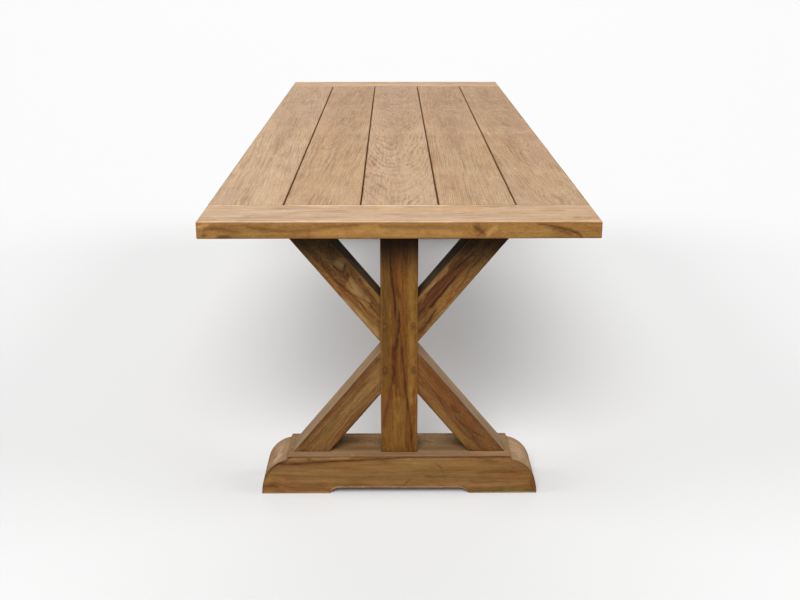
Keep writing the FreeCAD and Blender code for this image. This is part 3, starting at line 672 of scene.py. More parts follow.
# Colours of the timber by name, as sRGB. Fresh wood shows on sheltered faces, grey wood
# on faces that are open to the sky.
TOP_TEAK = palette({
    "fresh": "856234", "fresh dark": "624521", "grey": "B39A7F", "grey dark": "7D624A",
    "worn": "9A7C55", "end": "7A5A3C", "seam": "6A4520",
})
TRESTLE_TEAK = palette({
    "fresh": "785932", "fresh dark": "50361A", "grey": "826A4C", "grey dark": "604832",
    "worn": "86693F", "end": "56391F", "seam": "3E240F",
})
# The post's and upper struts' grey tones are dark: painted shade on the faces that look up beneath the
# top.
POST_TEAK = TRESTLE_TEAK | palette({
    "fresh": "6E481A", "fresh dark": "3E2407", "grey": "5A4630", "grey dark": "42301E",
    "worn": "7A5C34",
})
UPPER_TEAK = POST_TEAK | palette({"fresh": "7B5B2E", "fresh dark": "3F270E"})
LOWER_TEAK = TRESTLE_TEAK | palette({"grey": "8B745A", "grey dark": "6A5640"})
# What the slow changes of colour multiply the timber's own colour with.
CLOUDS = {
    "Warm": (0.99, 0.91, 0.8, 1.0),
    "Dark": (0.76, 0.71, 0.66, 1.0),
    "Rosy": (0.96, 0.84, 0.82, 1.0),
    "Pale": (1.13, 1.15, 1.13, 1.0),
}
# Marks of these tones have a red halo.
HALOED = ("heart", "dark red", "brown")
# The near black of the painted shade close under the top.
PAINTED_SHADE_TONE = tone("100A05")
MARK_TONES = palette({
    "heart": "1E0F06", "dark red": "351407", "red": "5A2A0F", "brown": "42270F",
    "light brown": "6A4520", "olive": "4E3C16", "gold": "86632B", "pale": "93754A", "pink": "8C6C56",
    "green": "333D14", "dark grey": "6E533E", "straw": "A9854C", "peach": "D9C0A2", "rosy": "987766",
    "grey tan": "9C8164",
})


def streak_line(bench, along, spots, column):
    """A smooth curve through one column of a streak's spots, over its length."""
    first, last = spots[0][0], spots[-1][0]
    values = [spot[column] for spot in spots]
    lowest, highest = min(values) - CURVE_MARGIN, max(values) + CURVE_MARGIN
    inputs = {"Value": along, "From Min": first, "From Max": last}
    share = bench.put("ShaderNodeMapRange", inputs, clamp=True).outputs[0]
    node = bench.put("ShaderNodeFloatCurve", {"Value": share})
    curve = node.mapping.curves[0]
    span, tall = last - first, highest - lowest
    heights = [((spot[0] - first) / span, (spot[column] - lowest) / tall) for spot in spots]
    curve.points[0].location, curve.points[1].location = heights[0], heights[-1]
    for place in heights[1:-1]:
        curve.points.new(*place)
    node.mapping.update()
    return bench.plus(node.outputs[0], tall, lowest)


def new_material(name):
    """A material without nodes, and a bench in it."""
    material = bpy.data.materials.new(name)
    material.use_nodes = True
    bench = Bench(material.node_tree)
    bench.nodes.clear()
    return material, bench


def coat(bench, inputs):
    """Gives a material its surface."""
    surface = bench.put("ShaderNodeBsdfPrincipled", inputs)
    bench.put("ShaderNodeOutputMaterial", {0: surface.outputs[0]})


def teak(
    name, tones, ring_width=0.006, waver=0.05, rings=0.5, bands=0.4, streaks=0.3, fibre=0.2,
    wear=0.6, seam=0.0, scuffs=0.0, clouds=1.0, smooth=0.0, drawn_out=1.0, mottle=0.0,
    painted_shade=0.0, full=0.9, marks=(), marks_on="Side", turned_marks=(), knots=(),
    turned_knots=(), turned_on="Side", marked=True, relief=0.0006,
):
    """Bare teak. rings, bands, streaks and fibre say how strongly each darkens it, and
    clouds how much the slow changes of colour show. smooth is how much of it is worn
    away in places, and drawn_out how much longer than usual it all is. wear is how pale
    the arrises are rubbed, seam how much darker they are made instead, mottle how
    speckled it is, and shelter how strongly painted shade darkens it close under the
    top. full is how far up a face looks, from 0 to 1, that is bleached all over. A mark
    is a tone's name, a strength and its spots: along, across and half width. A knot is
    along, across, size and how strong it is. The turned ones lie at a height through
    the timber instead of across it. marks_on and turned_on say which faces they show
    on: "Top", "Side" or "Front". A timber that isn't marked carries no places and
    grows along Y."""
    material, bench = new_material(name)

    def group(kind, inputs):
        return bench.put("ShaderNodeGroup", inputs, node_tree=GROUPS[kind]).outputs

    log, place = bench.mark("grain", "Vector"), bench.mark("place", "Vector")
    arris, end_face = bench.mark("arris", "Fac"), bench.mark("end_grain", "Fac")
    if not marked:
        spot = bench.split(bench.put("ShaderNodeTexCoord").outputs["Object"])
        log = place = bench.join(spot["Y"], spot["X"], spot["Z"])
    here = bench.split(place)
    turned = bench.join(here["X"], here["Z"], here["Y"])
    air_and_shade = group("weather_and_shade", {"Place": place, "Full": full})
    rubbed = group("worn", {"Place": place, "Arris": arris})["Worn"]

    cores = []
    for spots, seen_from, face in ((knots, place, marks_on), (turned_knots, turned, turned_on)):
        for along, across, size, strength in spots:
            inputs = {"Grain": log, "Place": seen_from}
            inputs |= {"Along": along * MM, "Across": across * MM, "Size": size * MM}
            found = group("knot", inputs)
            log = found["Grain"]
            cores.append((found, strength, air_and_shade[face]))
    log = bench.stretch(log, (1 / drawn_out, 1.0, 1.0))
    ring = group("rings", {"Grain": log, "Ring Width": ring_width, "Waver": waver})
    fibres = group("fibres", {"Grain": log})
    patch = group("patches", {"Grain": log})

    lines = bench.times(ring["Rings"], bench.between(ring["Tone"], 0.3, 0.65, 0.35, 1.0))
    figure = bench.times(lines, rings)
    for label, strength in (("Bands", bands), ("Streaks", streaks), ("Fibres", fibre)):
        figure = bench.plus(fibres[label], strength, figure)
    figure = bench.plus(fibres["Pores"], 0.2, figure, clamp=True)
    kept = bench.plus(air_and_shade["Smooth"], -smooth, 1.0)
    figure = bench.sway(figure, kept, MIDDLE_FIGURE, MIDDLE_FIGURE)
    fresh = bench.blend(figure, tones["fresh"], tones["fresh dark"])
    grey = bench.blend(figure, tones["grey"], tones["grey dark"])
    colour = bench.blend(air_and_shade["Bleached"], fresh, grey)
    for label, cloud in CLOUDS.items():
        colour = bench.blend(bench.times(patch[label], clouds), colour, cloud, "MULTIPLY")
    if mottle:
        share = bench.plus(air_and_shade["Side"], 0.6 * mottle, 0.4 * mottle)
        spread = bench.sway(patch["Mottle"], share, 1.0)
        colour = bench.blend(1.0, colour, bench.join(spread, spread, spread), "MULTIPLY")
    for lot, seen_from, face in ((marks, place, marks_on), (turned_marks, turned, turned_on)):
        for mark_tone, strength, sizes in lot:
            spots = [tuple(size * MM for size in spot) for spot in sizes]
            line, width = (streak_line(bench, here["X"], spots, column) for column in (1, 2))
            inputs = {"Place": seen_from, "Line": line, "Width": width}
            inputs["First"] = spots[0][0] - STREAK_FADE / 2
            inputs["Last"] = spots[-1][0] + STREAK_FADE / 2
            streak = group("streak", inputs)
            if mark_tone in HALOED:
                halo = bench.times(streak["Halo"], air_and_shade[face])
                colour = bench.darken(colour, halo, 0.3 * strength, MARK_TONES["red"])
            mask = bench.times(streak["Streak"], air_and_shade[face])
            colour = bench.darken(colour, mask, strength, MARK_TONES[mark_tone])
    for found, strength, where in cores:
        for label, share in (("Halo", 0.3), ("Core", 0.6), ("Rim", 0.9)):
            mask = bench.times(found[label], where)
            colour = bench.darken(colour, mask, share * strength, MARK_TONES["brown"])
    # Rubbed arrises, darker arrises, painted shade close under the top, and scuffs.
    for mask, strength, over in (
        (rubbed, wear, tones["worn"]),
        # Arrises darkened towards the seam tone.
        (bench.between(arris, 0.7, 1.0), seam, tones["seam"]),
        (air_and_shade["Shelter"], painted_shade, PAINTED_SHADE_TONE),
        (air_and_shade["Scuffs"], scuffs, MARK_TONES["peach"]),
    ):
        if strength:
            colour = bench.darken(colour, mask, strength, over)
    cut = bench.plus(fibres["Pores"], 0.5, bench.times(lines, 0.7))
    cut = bench.blend(cut, tones["end"], tones["fresh dark"])
    colour = bench.darken(colour, end_face, 0.75, cut)

    height = bench.times(lines, -0.5)
    for label, depth in (("Streaks", -0.7), ("Fibres", -0.5), ("Pores", -0.5)):
        height = bench.plus(fibres[label], depth, height)
    bump = bench.put("ShaderNodeBump", {"Strength": 0.6, "Distance": relief, "Height": height})
    inputs = {"Base Color": colour, "Roughness": bench.plus(fibres["Fibres"], 0.16, ROUGHNESS)}
    coat(bench, inputs | {"Normal": bump.outputs[0], "Specular IOR Level": SHINE})
    return material


def crack_wall():
    """The dark inside of a drying check."""
    material, bench = new_material("crack wall")
    rough = bench.grit(bench.put("ShaderNodeTexCoord").outputs["Object"], 300.0)
    colour = bench.blend(rough, tone("2A190D"), tone("4A2F1B"))
    coat(bench, {"Base Color": colour, "Roughness": 0.85})
    return material


def zinc():
    """Dull zinc plate, blotchy and a little stained."""
    material, bench = new_material("zinc")
    place = bench.put("ShaderNodeTexCoord").outputs["Object"]
    stain = bench.between(bench.grit(place, 120.0, 4.0), 0.5, 0.75)
    colour = bench.blend(bench.grit(place, 420.0), tone("8E8F8C"), tone("B4B5B0"))
    colour = bench.darken(colour, stain, 0.6, tone("6A5240"))
    dull = bench.between(stain, 0.0, 1.0, 0.36, 0.7)
    coat(bench, {"Base Color": colour, "Roughness": dull, "Metallic": 0.85})
    return material


# ----------------------------------------------------------------- the timbers' looks

# A mark is a tone, a strength and its spots: along, across and half width, in millimetres.
POST_MARKS = (
    ("gold", 0.3, ((-10, -4, 22), (80, -4, 22), (160, -2, 12))),
    ("light brown", 0.5, ((42, -38, 5), (80, -39.5, 8), (166, -37.5, 5))),
    ("red", 0.2, ((7, 29, 13), (65, 26, 10), (109, 23.5, 5))),
    ("red", 0.25, ((200, 11, 4), (306, 11, 8), (375, 12.5, 9), (435, 12.5, 6.5))),
    ("red", 0.15, ((424, -0.5, 8), (456, -3, 11.5), (496, -3, 10.5), (585, -3, 8))),
    ("gold", 0.5, ((137, 34, 2.6), (180, 31, 8), (306, 33.5, 10.5), (483, 34, 10.5), (585, 32.5, 5))),
    ("olive", 0.5, ((175, -32.5, 5), (223, -32, 10.5), (348, -34.5, 10.5), (585, -35, 9))),
    ("heart", 0.85, (
        (364, -5, 1.6), (380, -7.5, 2.6), (402, -9.5, 4), (421, -11, 2.8), (448, -14.5, 3),
        (470, -18, 3.5), (496, -20.5, 3), (523, -21.5, 2.8), (585, -22, 2.2),
    )),
    ("dark red", 0.6, ((426, 3.5, 2.6), (437, 0.5, 5), (448, -4.5, 6.5), (462, -7, 3), (500, -6, 2))),
    ("heart", 0.9, (
        (292, -8.5, 2.6), (309, -6, 4), (326, -5.5, 4), (342, -3, 3.5), (361, -1, 4.5), (380, 0, 3.5),
        (397, -0.5, 2.1),
    )),
    ("dark red", 0.9, (
        (197, -16, 3), (211, -15, 5.5), (231, -13.5, 6), (259, -13, 6.5), (287, -12.5, 6.5),
        (304, -13, 4),
    )),
    ("heart", 0.75, (
        (13, 33.5, 2.6), (42, 32.5, 3), (91, 28.5, 4), (143, 21.5, 3), (194, 15.5, 3), (248, 11, 3),
        (276, 8.5, 3.5), (304, 6, 2.6),
    )),
    ("brown", 0.8, (
        (71, -42.5, 2.6), (92, -40, 4), (112, -37, 4), (132, -32.5, 4), (175, -23.5, 3.5),
        (200, -21, 2.6),
    )),
)
UPPER_LEFT_MARKS = (
    ("pale", 0.45, ((50, 4, 4), (85, 6, 12), (120, 6, 12), (140, 8, 6))),
    ("pale", 0.6, ((-27, -31, 8), (20, -32, 8), (72, -35.5, 8), (117, -38, 5))),
    ("red", 0.2, ((100, -15.5, 8), (147, -19.5, 8), (174, -19, 8), (240, -20, 10))),
    ("red", 0.25, ((170, 29, 6), (200, 30, 10), (230, 28, 6))),
    ("heart", 0.7, (
        (43, -13, 1.8), (70, -10.5, 2.3), (92, -12, 2.3), (130, -16.5, 2.3), (160, -21, 2),
    )),
    ("heart", 0.6, ((46, 13.5, 3), (57, 6, 2.3), (71, 0.5, 2.3), (88, -5.5, 2.3), (105, -11, 1.8))),
    ("brown", 0.65, ((49, 26, 3), (72, 25, 3), (88, 22, 3), (114, 20, 3), (151, 25, 2.5))),
    ("red", 0.8, ((-6, -7, 4), (10, -7, 4), (26, -10, 4), (39, -12.5, 4))),
    ("heart", 0.7, ((-12, -6, 3.5), (-6, -7, 4), (6, -7, 2))),
    ("brown", 0.6, ((125, 28.5, 2), (141, 33, 3.5), (158, 32, 2))),
    ("pale", 0.7, ((164, 16.5, 6), (173, 16.5, 13), (181, 16.5, 14), (189, 16.5, 13), (198, 16.5, 5))),
    ("heart", 1.0, ((158, 10.5, 3), (164, 7.5, 3.5), (171, 4.5, 3.5), (180, 2.5, 3), (192, 2, 1.8))),
    ("heart", 1.0, ((158, 9, 6), (164, 16, 6), (168, 22, 6), (174, 28.5, 4))),
    ("heart", 0.9, ((136, 2.5, 3), (145, 3.5, 3), (160, 4.5, 2))),
    ("heart", 0.9, ((133, 2, 4), (140, 7.5, 5), (144, 11, 5), (154, 13, 3))),
    ("pink", 0.25, ((140, -4, 2), (147, -5.5, 3), (158, -10, 3), (168, -16, 1.8))),
)
UPPER_RIGHT_MARKS = (
    ("dark red", 0.6, (
        (0, 12, 10), (34, 11, 11.5), (62, 11, 11.5), (103, 12, 11.5), (142, 11, 11.5), (200, 3.5, 9),
    )),
    ("pale", 0.55, ((-8, -41, 6.5), (37, -44, 6.5), (98, -42.5, 6.5), (158, -42.5, 6.5))),
    ("gold", 0.35, ((60, -13, 6), (90, -12, 6), (120, -10, 4))),
    ("heart", 0.8, (
        (65, 24, 2.2), (105, 24, 2.8), (139, 19, 2.8), (168, 14, 2.8), (199, 10, 2.8), (231, 7, 2.8),
    )),
    ("heart", 0.95, (
        (44, -1, 3.5), (55, -2, 4), (75, -1.5, 3), (90, -2, 3.5), (103, -1, 3), (124, -0.5, 3),
        (156, 1, 2.4),
    )),
    ("brown", 0.75, ((118, -27, 2.8), (143, -24.5, 3), (162, -22, 3), (186, -16, 2.6))),
    ("heart", 1.0, (
        (-26, -23.5, 3.5), (-8, -24, 4), (9, -23.5, 3.5), (22, -22.5, 3), (38, -19.5, 3),
        (52, -17, 2.4),
    )),
    ("red", 0.6, ((82, -26, 5), (95, -25, 5), (112, -20.5, 4))),
    ("red", 0.7, ((-22, -33, 5), (-2, -32, 5))),
    ("pink", 0.5, (
        (75, 32.5, 2), (90, 31.5, 2.6), (110, 29.5, 2.2), (134, 28.5, 2.8), (157, 31.5, 3.5),
    )),
)
LOWER_LEFT_MARKS = (
    ("brown", 0.75, ((-29, -31, 6), (60, -32.5, 5), (113, -33.5, 4), (218, -33.5, 4), (306, -34, 5))),
    ("red", 0.3, ((130, -27, 4), (170, -28.5, 6), (210, -29, 4))),
    ("brown", 0.65, ((53, 37.5, 4.5), (108, 34, 4.5), (169, 33.5, 4), (251, 37, 4.5))),
    ("pale", 0.35, ((80, 18.5, 1), (119, 16, 1.2), (171, 16.5, 1.2), (252, 23.5, 1.2))),
    ("brown", 0.55, ((108, 24.5, 1.8), (156, 21.5, 2.1), (208, 22, 2.1), (249, 27.5, 2.1))),
    ("pale", 0.35, ((190, -19.5, 1.2), (229, -22.5, 1.2), (274, -21.5, 1.2))),
)
LOWER_RIGHT_MARKS = (
    ("red", 0.3, ((-20, -11.5, 12), (75, -15, 15.5), (122, -18, 15.5), (220, -12, 12))),
    ("gold", 0.25, ((77, 27.5, 6), (150, 29, 8), (217, 31, 8), (246, 33, 8))),
    ("heart", 0.6, (
        (-25, -37.5, 5.5), (64, -42, 7.5), (171, -41.5, 6.5), (220, -42.5, 5.5), (308, -38.5, 6.5),
    )),
    ("dark red", 0.8, ((125, -8.5, 4.5), (141, -9.5, 6), (159, -12.5, 4))),
    ("brown", 0.7, ((54, 2, 2.1), (83, -2, 2.1), (116, -2, 2.1), (134, -1, 2.1))),
    ("heart", 0.6, (
        (165, 3, 1.8), (188, 1.5, 2.3), (214, -6, 2.3), (237, -11.5, 2.3), (258, -22.5, 1.8),
    )),
)
FOOT_SHAKE = ((-337, 85.5, 2), (-292, 84, 2.8), (-238, 88.5, 2.4), (-132, 95.5, 1.7), (2, 102, 1.1))
FOOT_MARKS = (
    ("pale", 0.5, ((-300, 98.5, 4.5), (-211, 100, 4), (-131, 103.5, 3))),
    ("heart", 0.85, FOOT_SHAKE),
    ("brown", 0.6, ((-334, 83.5, 6), (-265, 85, 5), (-185, 90, 3), (-78, 97, 3), (2, 102, 2))),
    ("light brown", 0.6, ((-131, 101, 3), (-78, 104, 3), (2, 106.5, 3))),
    ("brown", 0.6, ((2, 102, 2.3), (55, 105, 2.3), (162, 105, 2), (298, 104, 2.3))),
    ("light brown", 0.5, (
        (-319, 68, 3.5), (-266, 66.5, 3.5), (-212, 72, 3.5), (-78, 68.5, 3.5), (2, 71.5, 3.5),
    )),
    ("light brown", 0.45, ((122, 74, 3.5), (162, 72.5, 3.5), (216, 82.5, 3.5), (309, 88, 3.5))),
    ("brown", 0.4, ((69, 47.5, 2.6), (96, 46, 2.6), (125, 47.5, 2.6))),
    ("brown", 0.4, ((190, 35.5, 2.6), (217, 30.5, 2.6), (249, 32, 2.6), (298, 29, 2.6))),
    ("red", 0.6, ((170, 11.5, 5.5), (271, 14, 5.5), (370, 20, 7))),
    ("brown", 0.5, ((-156, 17.5, 2.2), (2, 17, 2.6), (177, 16.5, 2.6))),
    ("green", 0.75, ((187, 2, 3), (260, 4, 5), (300, 7, 7.5), (330, 6, 7), (369, 3, 4))),
    ("brown", 0.6, ((98, 85.5, 1.5), (112, 71, 2), (118, 60, 1.8), (123, 40, 1.5))),
    ("brown", 0.7, ((13, 24, 2), (20, 30, 1.8), (29, 39, 1.5))),
    ("brown", 0.6, ((-355, 18, 1), (-343, 26, 1.6), (-330, 22, 1))),
    ("brown", 0.55, ((-360, 17, 1), (-348, 20, 2.5), (-342, 22, 3.5), (-333, 17, 2), (-325, 14, 1))),
    ("brown", 0.6, ((-340, 4, 2), (-325, 5, 3.5), (-305, 4, 2))),
    # A brown band at the right end of the front face, where it turns to the flank: painted shade.
    ("brown", 0.45, ((350, 30, 10), (360, 30, 35), (369, 30, 45))),
    ("brown", 0.6, ((-350, 14, 1), (-338, 20, 1.4), (-322, 12, 1))),
    ("brown", 0.5, ((-336, 30, 1), (-310, 22, 1.4), (-280, 14, 1))),
)
FOOT_TOP_MARKS = (
    ("brown", 0.5, ((-356, 20, 8), (-345, 20, 18), (-332, 20, 8))),
    ("green", 0.35, ((-369, 0, 20), (-362, 0, 45), (-354, 0, 20))),
    ("pink", 0.3, ((-300, -62, 12), (-100, -66, 8), (100, -67, 7), (200, -62, 12), (300, -60, 14))),
    # The grey tan marks lighten the rounded shoulders: partly bleaching, partly painted light where the
    # front and side light falls.
    ("grey tan", 0.5, ((-375, 0, 60), (-330, 0, 70), (-300, 0, 60))),
    ("grey tan", 0.8, ((300, 0, 60), (330, 0, 70), (375, 0, 60))),
    ("dark grey", 0.7, ((-140, -27, 2), (-110, -29, 4), (-90, -30, 2))),
    ("dark grey", 0.8, ((-304, -35, 10), (-300, -35, 40), (-296, -35, 20))),
    ("brown", 0.6, ((-343, -20, 1), (-337, -22, 7), (-331, -18, 1))),
    ("peach", 0.25, ((-338, -50, 6), (-328, -35, 16), (-318, -30, 6))),
    ("peach", 0.2, ((-330, 0, 8), (-322, 10, 18), (-314, 20, 8))),
    ("dark grey", 0.6, ((-322, -10, 3), (-317, 0, 14), (-311, 20, 3))),
    ("rosy", 0.6, ((-338, 20, 4), (-330, 30, 12), (-322, 40, 4))),
)
BREADBOARD_MARKS = (
    ("peach", 0.7, ((0, 89, 4), (300, 90, 6), (550, 88, 5), (640, 91, 3))),
    ("peach", 0.5, ((0, -92, 4), (250, -90, 6), (600, -92, 4), (1000, -92, 4))),
    ("pink", 0.4, ((100, -60, 10), (250, -50, 14), (400, -60, 8))),
    ("dark grey", 0.45, ((100, -78, 5), (170, -80, 7), (240, -80, 4))),
    ("straw", 0.4, ((450, 20, 12), (620, 30, 18), (780, 20, 14), (900, 30, 6))),
    ("dark grey", 0.35, ((600, -30, 3), (670, 0, 3), (750, 30, 3), (870, 50, 3))),
    ("dark grey", 0.3, ((580, -50, 3), (700, -20, 3), (790, 12, 3), (920, 30, 3))),
    ("dark grey", 0.6, ((935, -52, 4), (945, -50, 7), (955, -52, 4))),
    ("dark grey", 0.5, ((960, -61, 3), (970, -60, 6), (980, -62, 3))),
)
BREADBOARD_EDGE_MARKS = (
    ("straw", 0.3, ((280, -4, 10), (420, -6, 18), (560, -4, 18), (660, -6, 10))),
    ("brown", 0.75, ((683, 9, 3), (692, 5, 7), (700, 0, 6), (710, -10, 3))),
    ("brown", 0.5, ((690, -16, 2), (700, -8, 3), (712, 4, 2), (718, 14, 1))),
    ("straw", 0.7, ((4, 10.5, 4.5), (18, 12, 4.5), (33, 15.5, 3))),
    ("brown", 0.5, ((18, -1, 5), (48, 6.5, 5), (79, -1, 5), (108, -6, 5))),
    ("heart", 0.6, ((50, -17.5, 3), (69, -16, 4.5), (88, -17.5, 3))),
    ("heart", 0.5, ((12, -14, 2), (19, -13, 4), (27, -12.5, 2))),
    ("brown", 0.4, (
        (121, 11.5, 4), (158, 4, 4), (207, -1, 4), (256, -1, 4), (330, 8.5, 4), (403, 13.5, 4),
    )),
    ("brown", 0.35, ((450, 10, 4), (550, 8, 6), (660, 6, 6))),
    ("straw", 0.5, ((715, -12, 8), (728, 0, 8), (742, 10, 8))),
    ("brown", 0.5, ((876, 5, 4), (900, -3, 5), (926, -13, 5))),
    ("brown", 0.9, (
        (838, 16, 1.8), (858, 13, 2.4), (885, 8, 3.5), (910, 2.5, 3.5), (932, -5, 4), (948, -15, 3.5),
        (953, -21.5, 2.6),
    )),
)
PEG_RINGS = [(z, x, 6.2, 0.6) for z in (235.5, 356.5) for x in (-37.5, 37.5)]
# How all the boards darken towards their far ends.
BOARD_AGEING = ("dark grey", 0.34, ((400, 0, 3), (1000, 0, 20), (1700, 0, 120), (2620, 0, 300)))

# Each board's pith and how it leans away along the board.
BOARD_GROWTH = {
    1: ((0.09, -0.07), (0.03, 0.01)),
    2: ((0.07, -0.06), (-0.045, 0.015)),
    3: ((0.012, -0.22), (0.004, 0.06)),
    4: ((-0.16, -0.05), (-0.012, 0.006)),
    5: ((-0.05, -0.06), (0.05, 0.02)),
}
# Each board's bleached tone, the width, waver and strength of its rings, and its scuffs.
BOARD_LOOKS = {
    1: ("B39A7C", 0.0075, 0.05, 0.5, 0.35),
    2: ("AB8E6D", 0.0065, 0.04, 0.7, 0.4),
    3: ("AE9476", 0.0058, 0.035, 0.8, 0.4),
    4: ("A88C6B", 0.0055, 0.03, 0.85, 0.45),
    5: ("A78B6B", 0.007, 0.1, 1.0, 0.55),
}
BOARD_MARKS = {
    1: (
        ("rosy", 0.3, ((1350, -50, 20), (1620, -70, 35), (1900, -80, 15))),
        ("rosy", 0.3, ((0, 60, 20), (120, 60, 30), (300, 70, 10))),
    ),
    2: (
        ("dark grey", 0.25, ((2100, -30, 5), (2300, -50, 11), (2550, -90, 6))),
        ("rosy", 0.3, ((1500, 80, 6), (1700, 75, 20), (1900, 85, 6))),
    ),
    3: (
        ("rosy", 0.35, ((0, 75, 14), (250, 75, 14), (500, 70, 4))),
        ("rosy", 0.3, ((2100, 0, 10), (2300, 20, 20), (2500, 0, 10))),
    ),
    4: (
        ("dark grey", 0.5, ((0, 12, 1.5), (180, 16, 2), (420, 10, 1.5))),
        ("dark grey", 0.45, ((0, 0, 1.5), (150, 4, 1.8), (300, 2, 1.2))),
        ("dark grey", 0.4, ((50, -30, 1.5), (250, -26, 1.8), (550, -32, 1.2))),
        ("rosy", 0.3, ((900, -30, 10), (1100, -50, 30), (1400, -50, 10))),
    ),
    5: (
        ("rosy", 0.35, ((500, -30, 20), (800, -55, 30), (1200, -60, 30), (1500, -50, 20))),
        ("rosy", 0.45, ((0, 85, 20), (200, 85, 20), (400, 90, 6))),
        ("dark grey", 0.2, ((1700, 20, 10), (1900, 0, 25), (2200, 10, 10))),
    ),
}

WALL = crack_wall()
BLANK = bpy.data.materials.new("blank")


def board_look(number):
    grey, ring_width, waver, rings, scuffs = BOARD_LOOKS[number]
    return teak(
        f"board teak {number}", TOP_TEAK | palette({"grey": grey, "fresh": "886236"}),
        ring_width=ring_width, waver=waver, rings=rings, scuffs=scuffs, bands=0.1, streaks=0.42,
        fibre=0.28, smooth=0.5, drawn_out=2.4, wear=0.0, seam=0.5, clouds=0.45, mottle=0.4,
        marks=(BOARD_AGEING, *BOARD_MARKS[number]), marks_on="Top", relief=0.0009,
    )


near_breadboard_teak = teak(
    "near breadboard teak", TOP_TEAK, rings=0.15, bands=0.2, streaks=0.22, fibre=0.18, wear=0.0,
    seam=0.4, mottle=0.35, marks=BREADBOARD_MARKS, marks_on="Top",
    turned_marks=BREADBOARD_EDGE_MARKS, turned_knots=((696, 3, 7.5, 0.12), (712, -12, 4, 0.1)),
)
far_breadboard_teak = teak(
    "far breadboard teak", TOP_TEAK, rings=0.3, bands=0.2, wear=0.2, mottle=0.15, scuffs=0.2
)
# The trestle timbers get painted shade close under the top.
trestle_teak = teak(
    "trestle teak", TRESTLE_TEAK, rings=0.35, fibre=0.35, wear=0.35, mottle=0.2, painted_shade=0.75,
    full=0.6,
)
# The post gets painted shade close under the top.
post_teak = teak(
    "post teak", POST_TEAK, rings=0.12, bands=0.3, fibre=0.4, wear=0.25, mottle=0.35,
    painted_shade=0.85, marks=POST_MARKS, marks_on="Front", knots=PEG_RINGS,
)
# The upper struts get painted shade close under the top.
UPPER_LOOK = {"rings": 0.15, "fibre": 0.4, "wear": 0.15, "mottle": 0.5, "painted_shade": 0.75, "full": 0.6}
LOWER_LOOK = {"clouds": 0.6, "wear": 0.0, "seam": 0.55, "full": 0.5}
strut_teak = {
    ("upper", "left"): teak(
        "upper left strut teak", UPPER_TEAK, bands=0.45, streaks=0.25, marks=UPPER_LEFT_MARKS,
        marks_on="Front", knots=((178, 14, 11.5, 0.4), (148, 0, 7, 0.4)), **UPPER_LOOK,
    ),
    ("upper", "right"): teak(
        "upper right strut teak", UPPER_TEAK, bands=0.5, streaks=0.28, marks=UPPER_RIGHT_MARKS,
        marks_on="Front", **UPPER_LOOK,
    ),
    ("lower", "left"): teak(
        "lower left strut teak", LOWER_TEAK, rings=0.2, streaks=0.35, fibre=0.4, mottle=0.3,
        marks=LOWER_LEFT_MARKS, marks_on="Front", **LOWER_LOOK,
    ),
    ("lower", "right"): teak(
        "lower right strut teak", LOWER_TEAK | palette({"fresh": "6E4B26", "fresh dark": "462B11"}),
        ring_width=0.0045, mottle=0.35, marks=LOWER_RIGHT_MARKS, marks_on="Front",
        knots=((188.5, -22, 11, 0.12),), **LOWER_LOOK,
    ),
}
foot_teak = teak(
    "foot teak", TRESTLE_TEAK, rings=0.15, streaks=0.2, fibre=0.1, wear=0.3, scuffs=0.4,
    mottle=0.1, marks=FOOT_MARKS, marks_on="Front", turned_marks=FOOT_TOP_MARKS, turned_on="Top",
    knots=((-339, 22.5, 8, 0.25), (-294.5, 105, 3, 0.8), (-240.5, 98.5, 3, 0.7), (237, 94, 5, 0.15)),
)
peg_wood = teak(
    "peg wood", POST_TEAK | palette({"end": "573916"}), ring_width=0.002, wear=0.0, mottle=0.3
)
spline_teak = teak("spline teak", TRESTLE_TEAK | palette({"fresh": "6B4A28"}), marked=False)
screw_zinc = zinc()


# -------------------------------------------------------------------------- the top

def make_board(number):
    """A long board between the breadboards, with its seam edges a little uneven."""
    node = f"top_board_{number}"
    left, right = low(node).x, high(node).x
    start = Vector(((left + right) / 2, -JOINT_Y - BITE, (UNDERSIDE + TOP_FACE) / 2))
    length, width = 2 * JOINT_Y + 2 * BITE, right - left - SEAM_EASE
    pith, lean = BOARD_GROWTH[number]
    piece = timber(
        f"board_{number}", start, Y, -X, length, width, TOP_FACE - UNDERSIDE,
        radii=(0.0015,) * 4, pith=pith, lean=lean, shift=number * 3.7, seed=number, ease=0.0009,
        worn=0.8,
    )
    return fit(piece, board_look(number), "top_boards", node)


def make_breadboard(end):
    node = f"breadboard_{end}"
    first, last = low(node), high(node)
    start = Vector((first.x, (first.y + last.y) / 2, (first.z + last.z) / 2))
    shift, seed, look = {
        "near": (31.0, 21, near_breadboard_teak),
        "far": (43.0, 22, far_breadboard_teak),
    }[end]
    piece = timber(
        f"end_board_{end}", start, X, Y, last.x - first.x, last.y - first.y, last.z - first.z,
        radii=(0.003, 0.003, 0.0025, 0.0025), pith=(0.02, -0.2), lean=(0.03, 0.01), shift=shift,
        seed=seed, ease=0.0022, worn=0.7,
    )
    return fit(piece, look, "breadboards", node)


def make_batten(name):
    node = f"batten_{name}"
    first, last = low(node), high(node)
    depth = UNDERSIDE - first.z
    start = Vector((first.x, (first.y + last.y) / 2, first.z + depth / 2))
    length = last.x - first.x
    piece = timber(
        f"cross_batten_{name}", start, X, Y, length, last.y - first.y, depth + 2 * SEAT,
        lift=bevelled_ends(length, BATTEN_BEVEL, BATTEN_RISE), pith=(0.05, 0.13),
        shift=50 + first.y, seed=round(30 + first.y * 3), ease=0.0015, spacing=0.015,
    )
    return fit(piece, trestle_teak, "under_timbers", node)


# ---------------------------------------------------------------------- the trestles

def on_trestle(piece, end):
    """Moves a piece made at the middle of a trestle to its end of the table."""
    turn = Matrix.Identity(4) if end == "near" else Matrix.Rotation(math.pi, 4, "Z")
    along = -TRESTLE_Y if end == "near" else TRESTLE_Y
    piece.data.transform(Matrix.Translation((0, along, 0)) @ turn)
    return piece


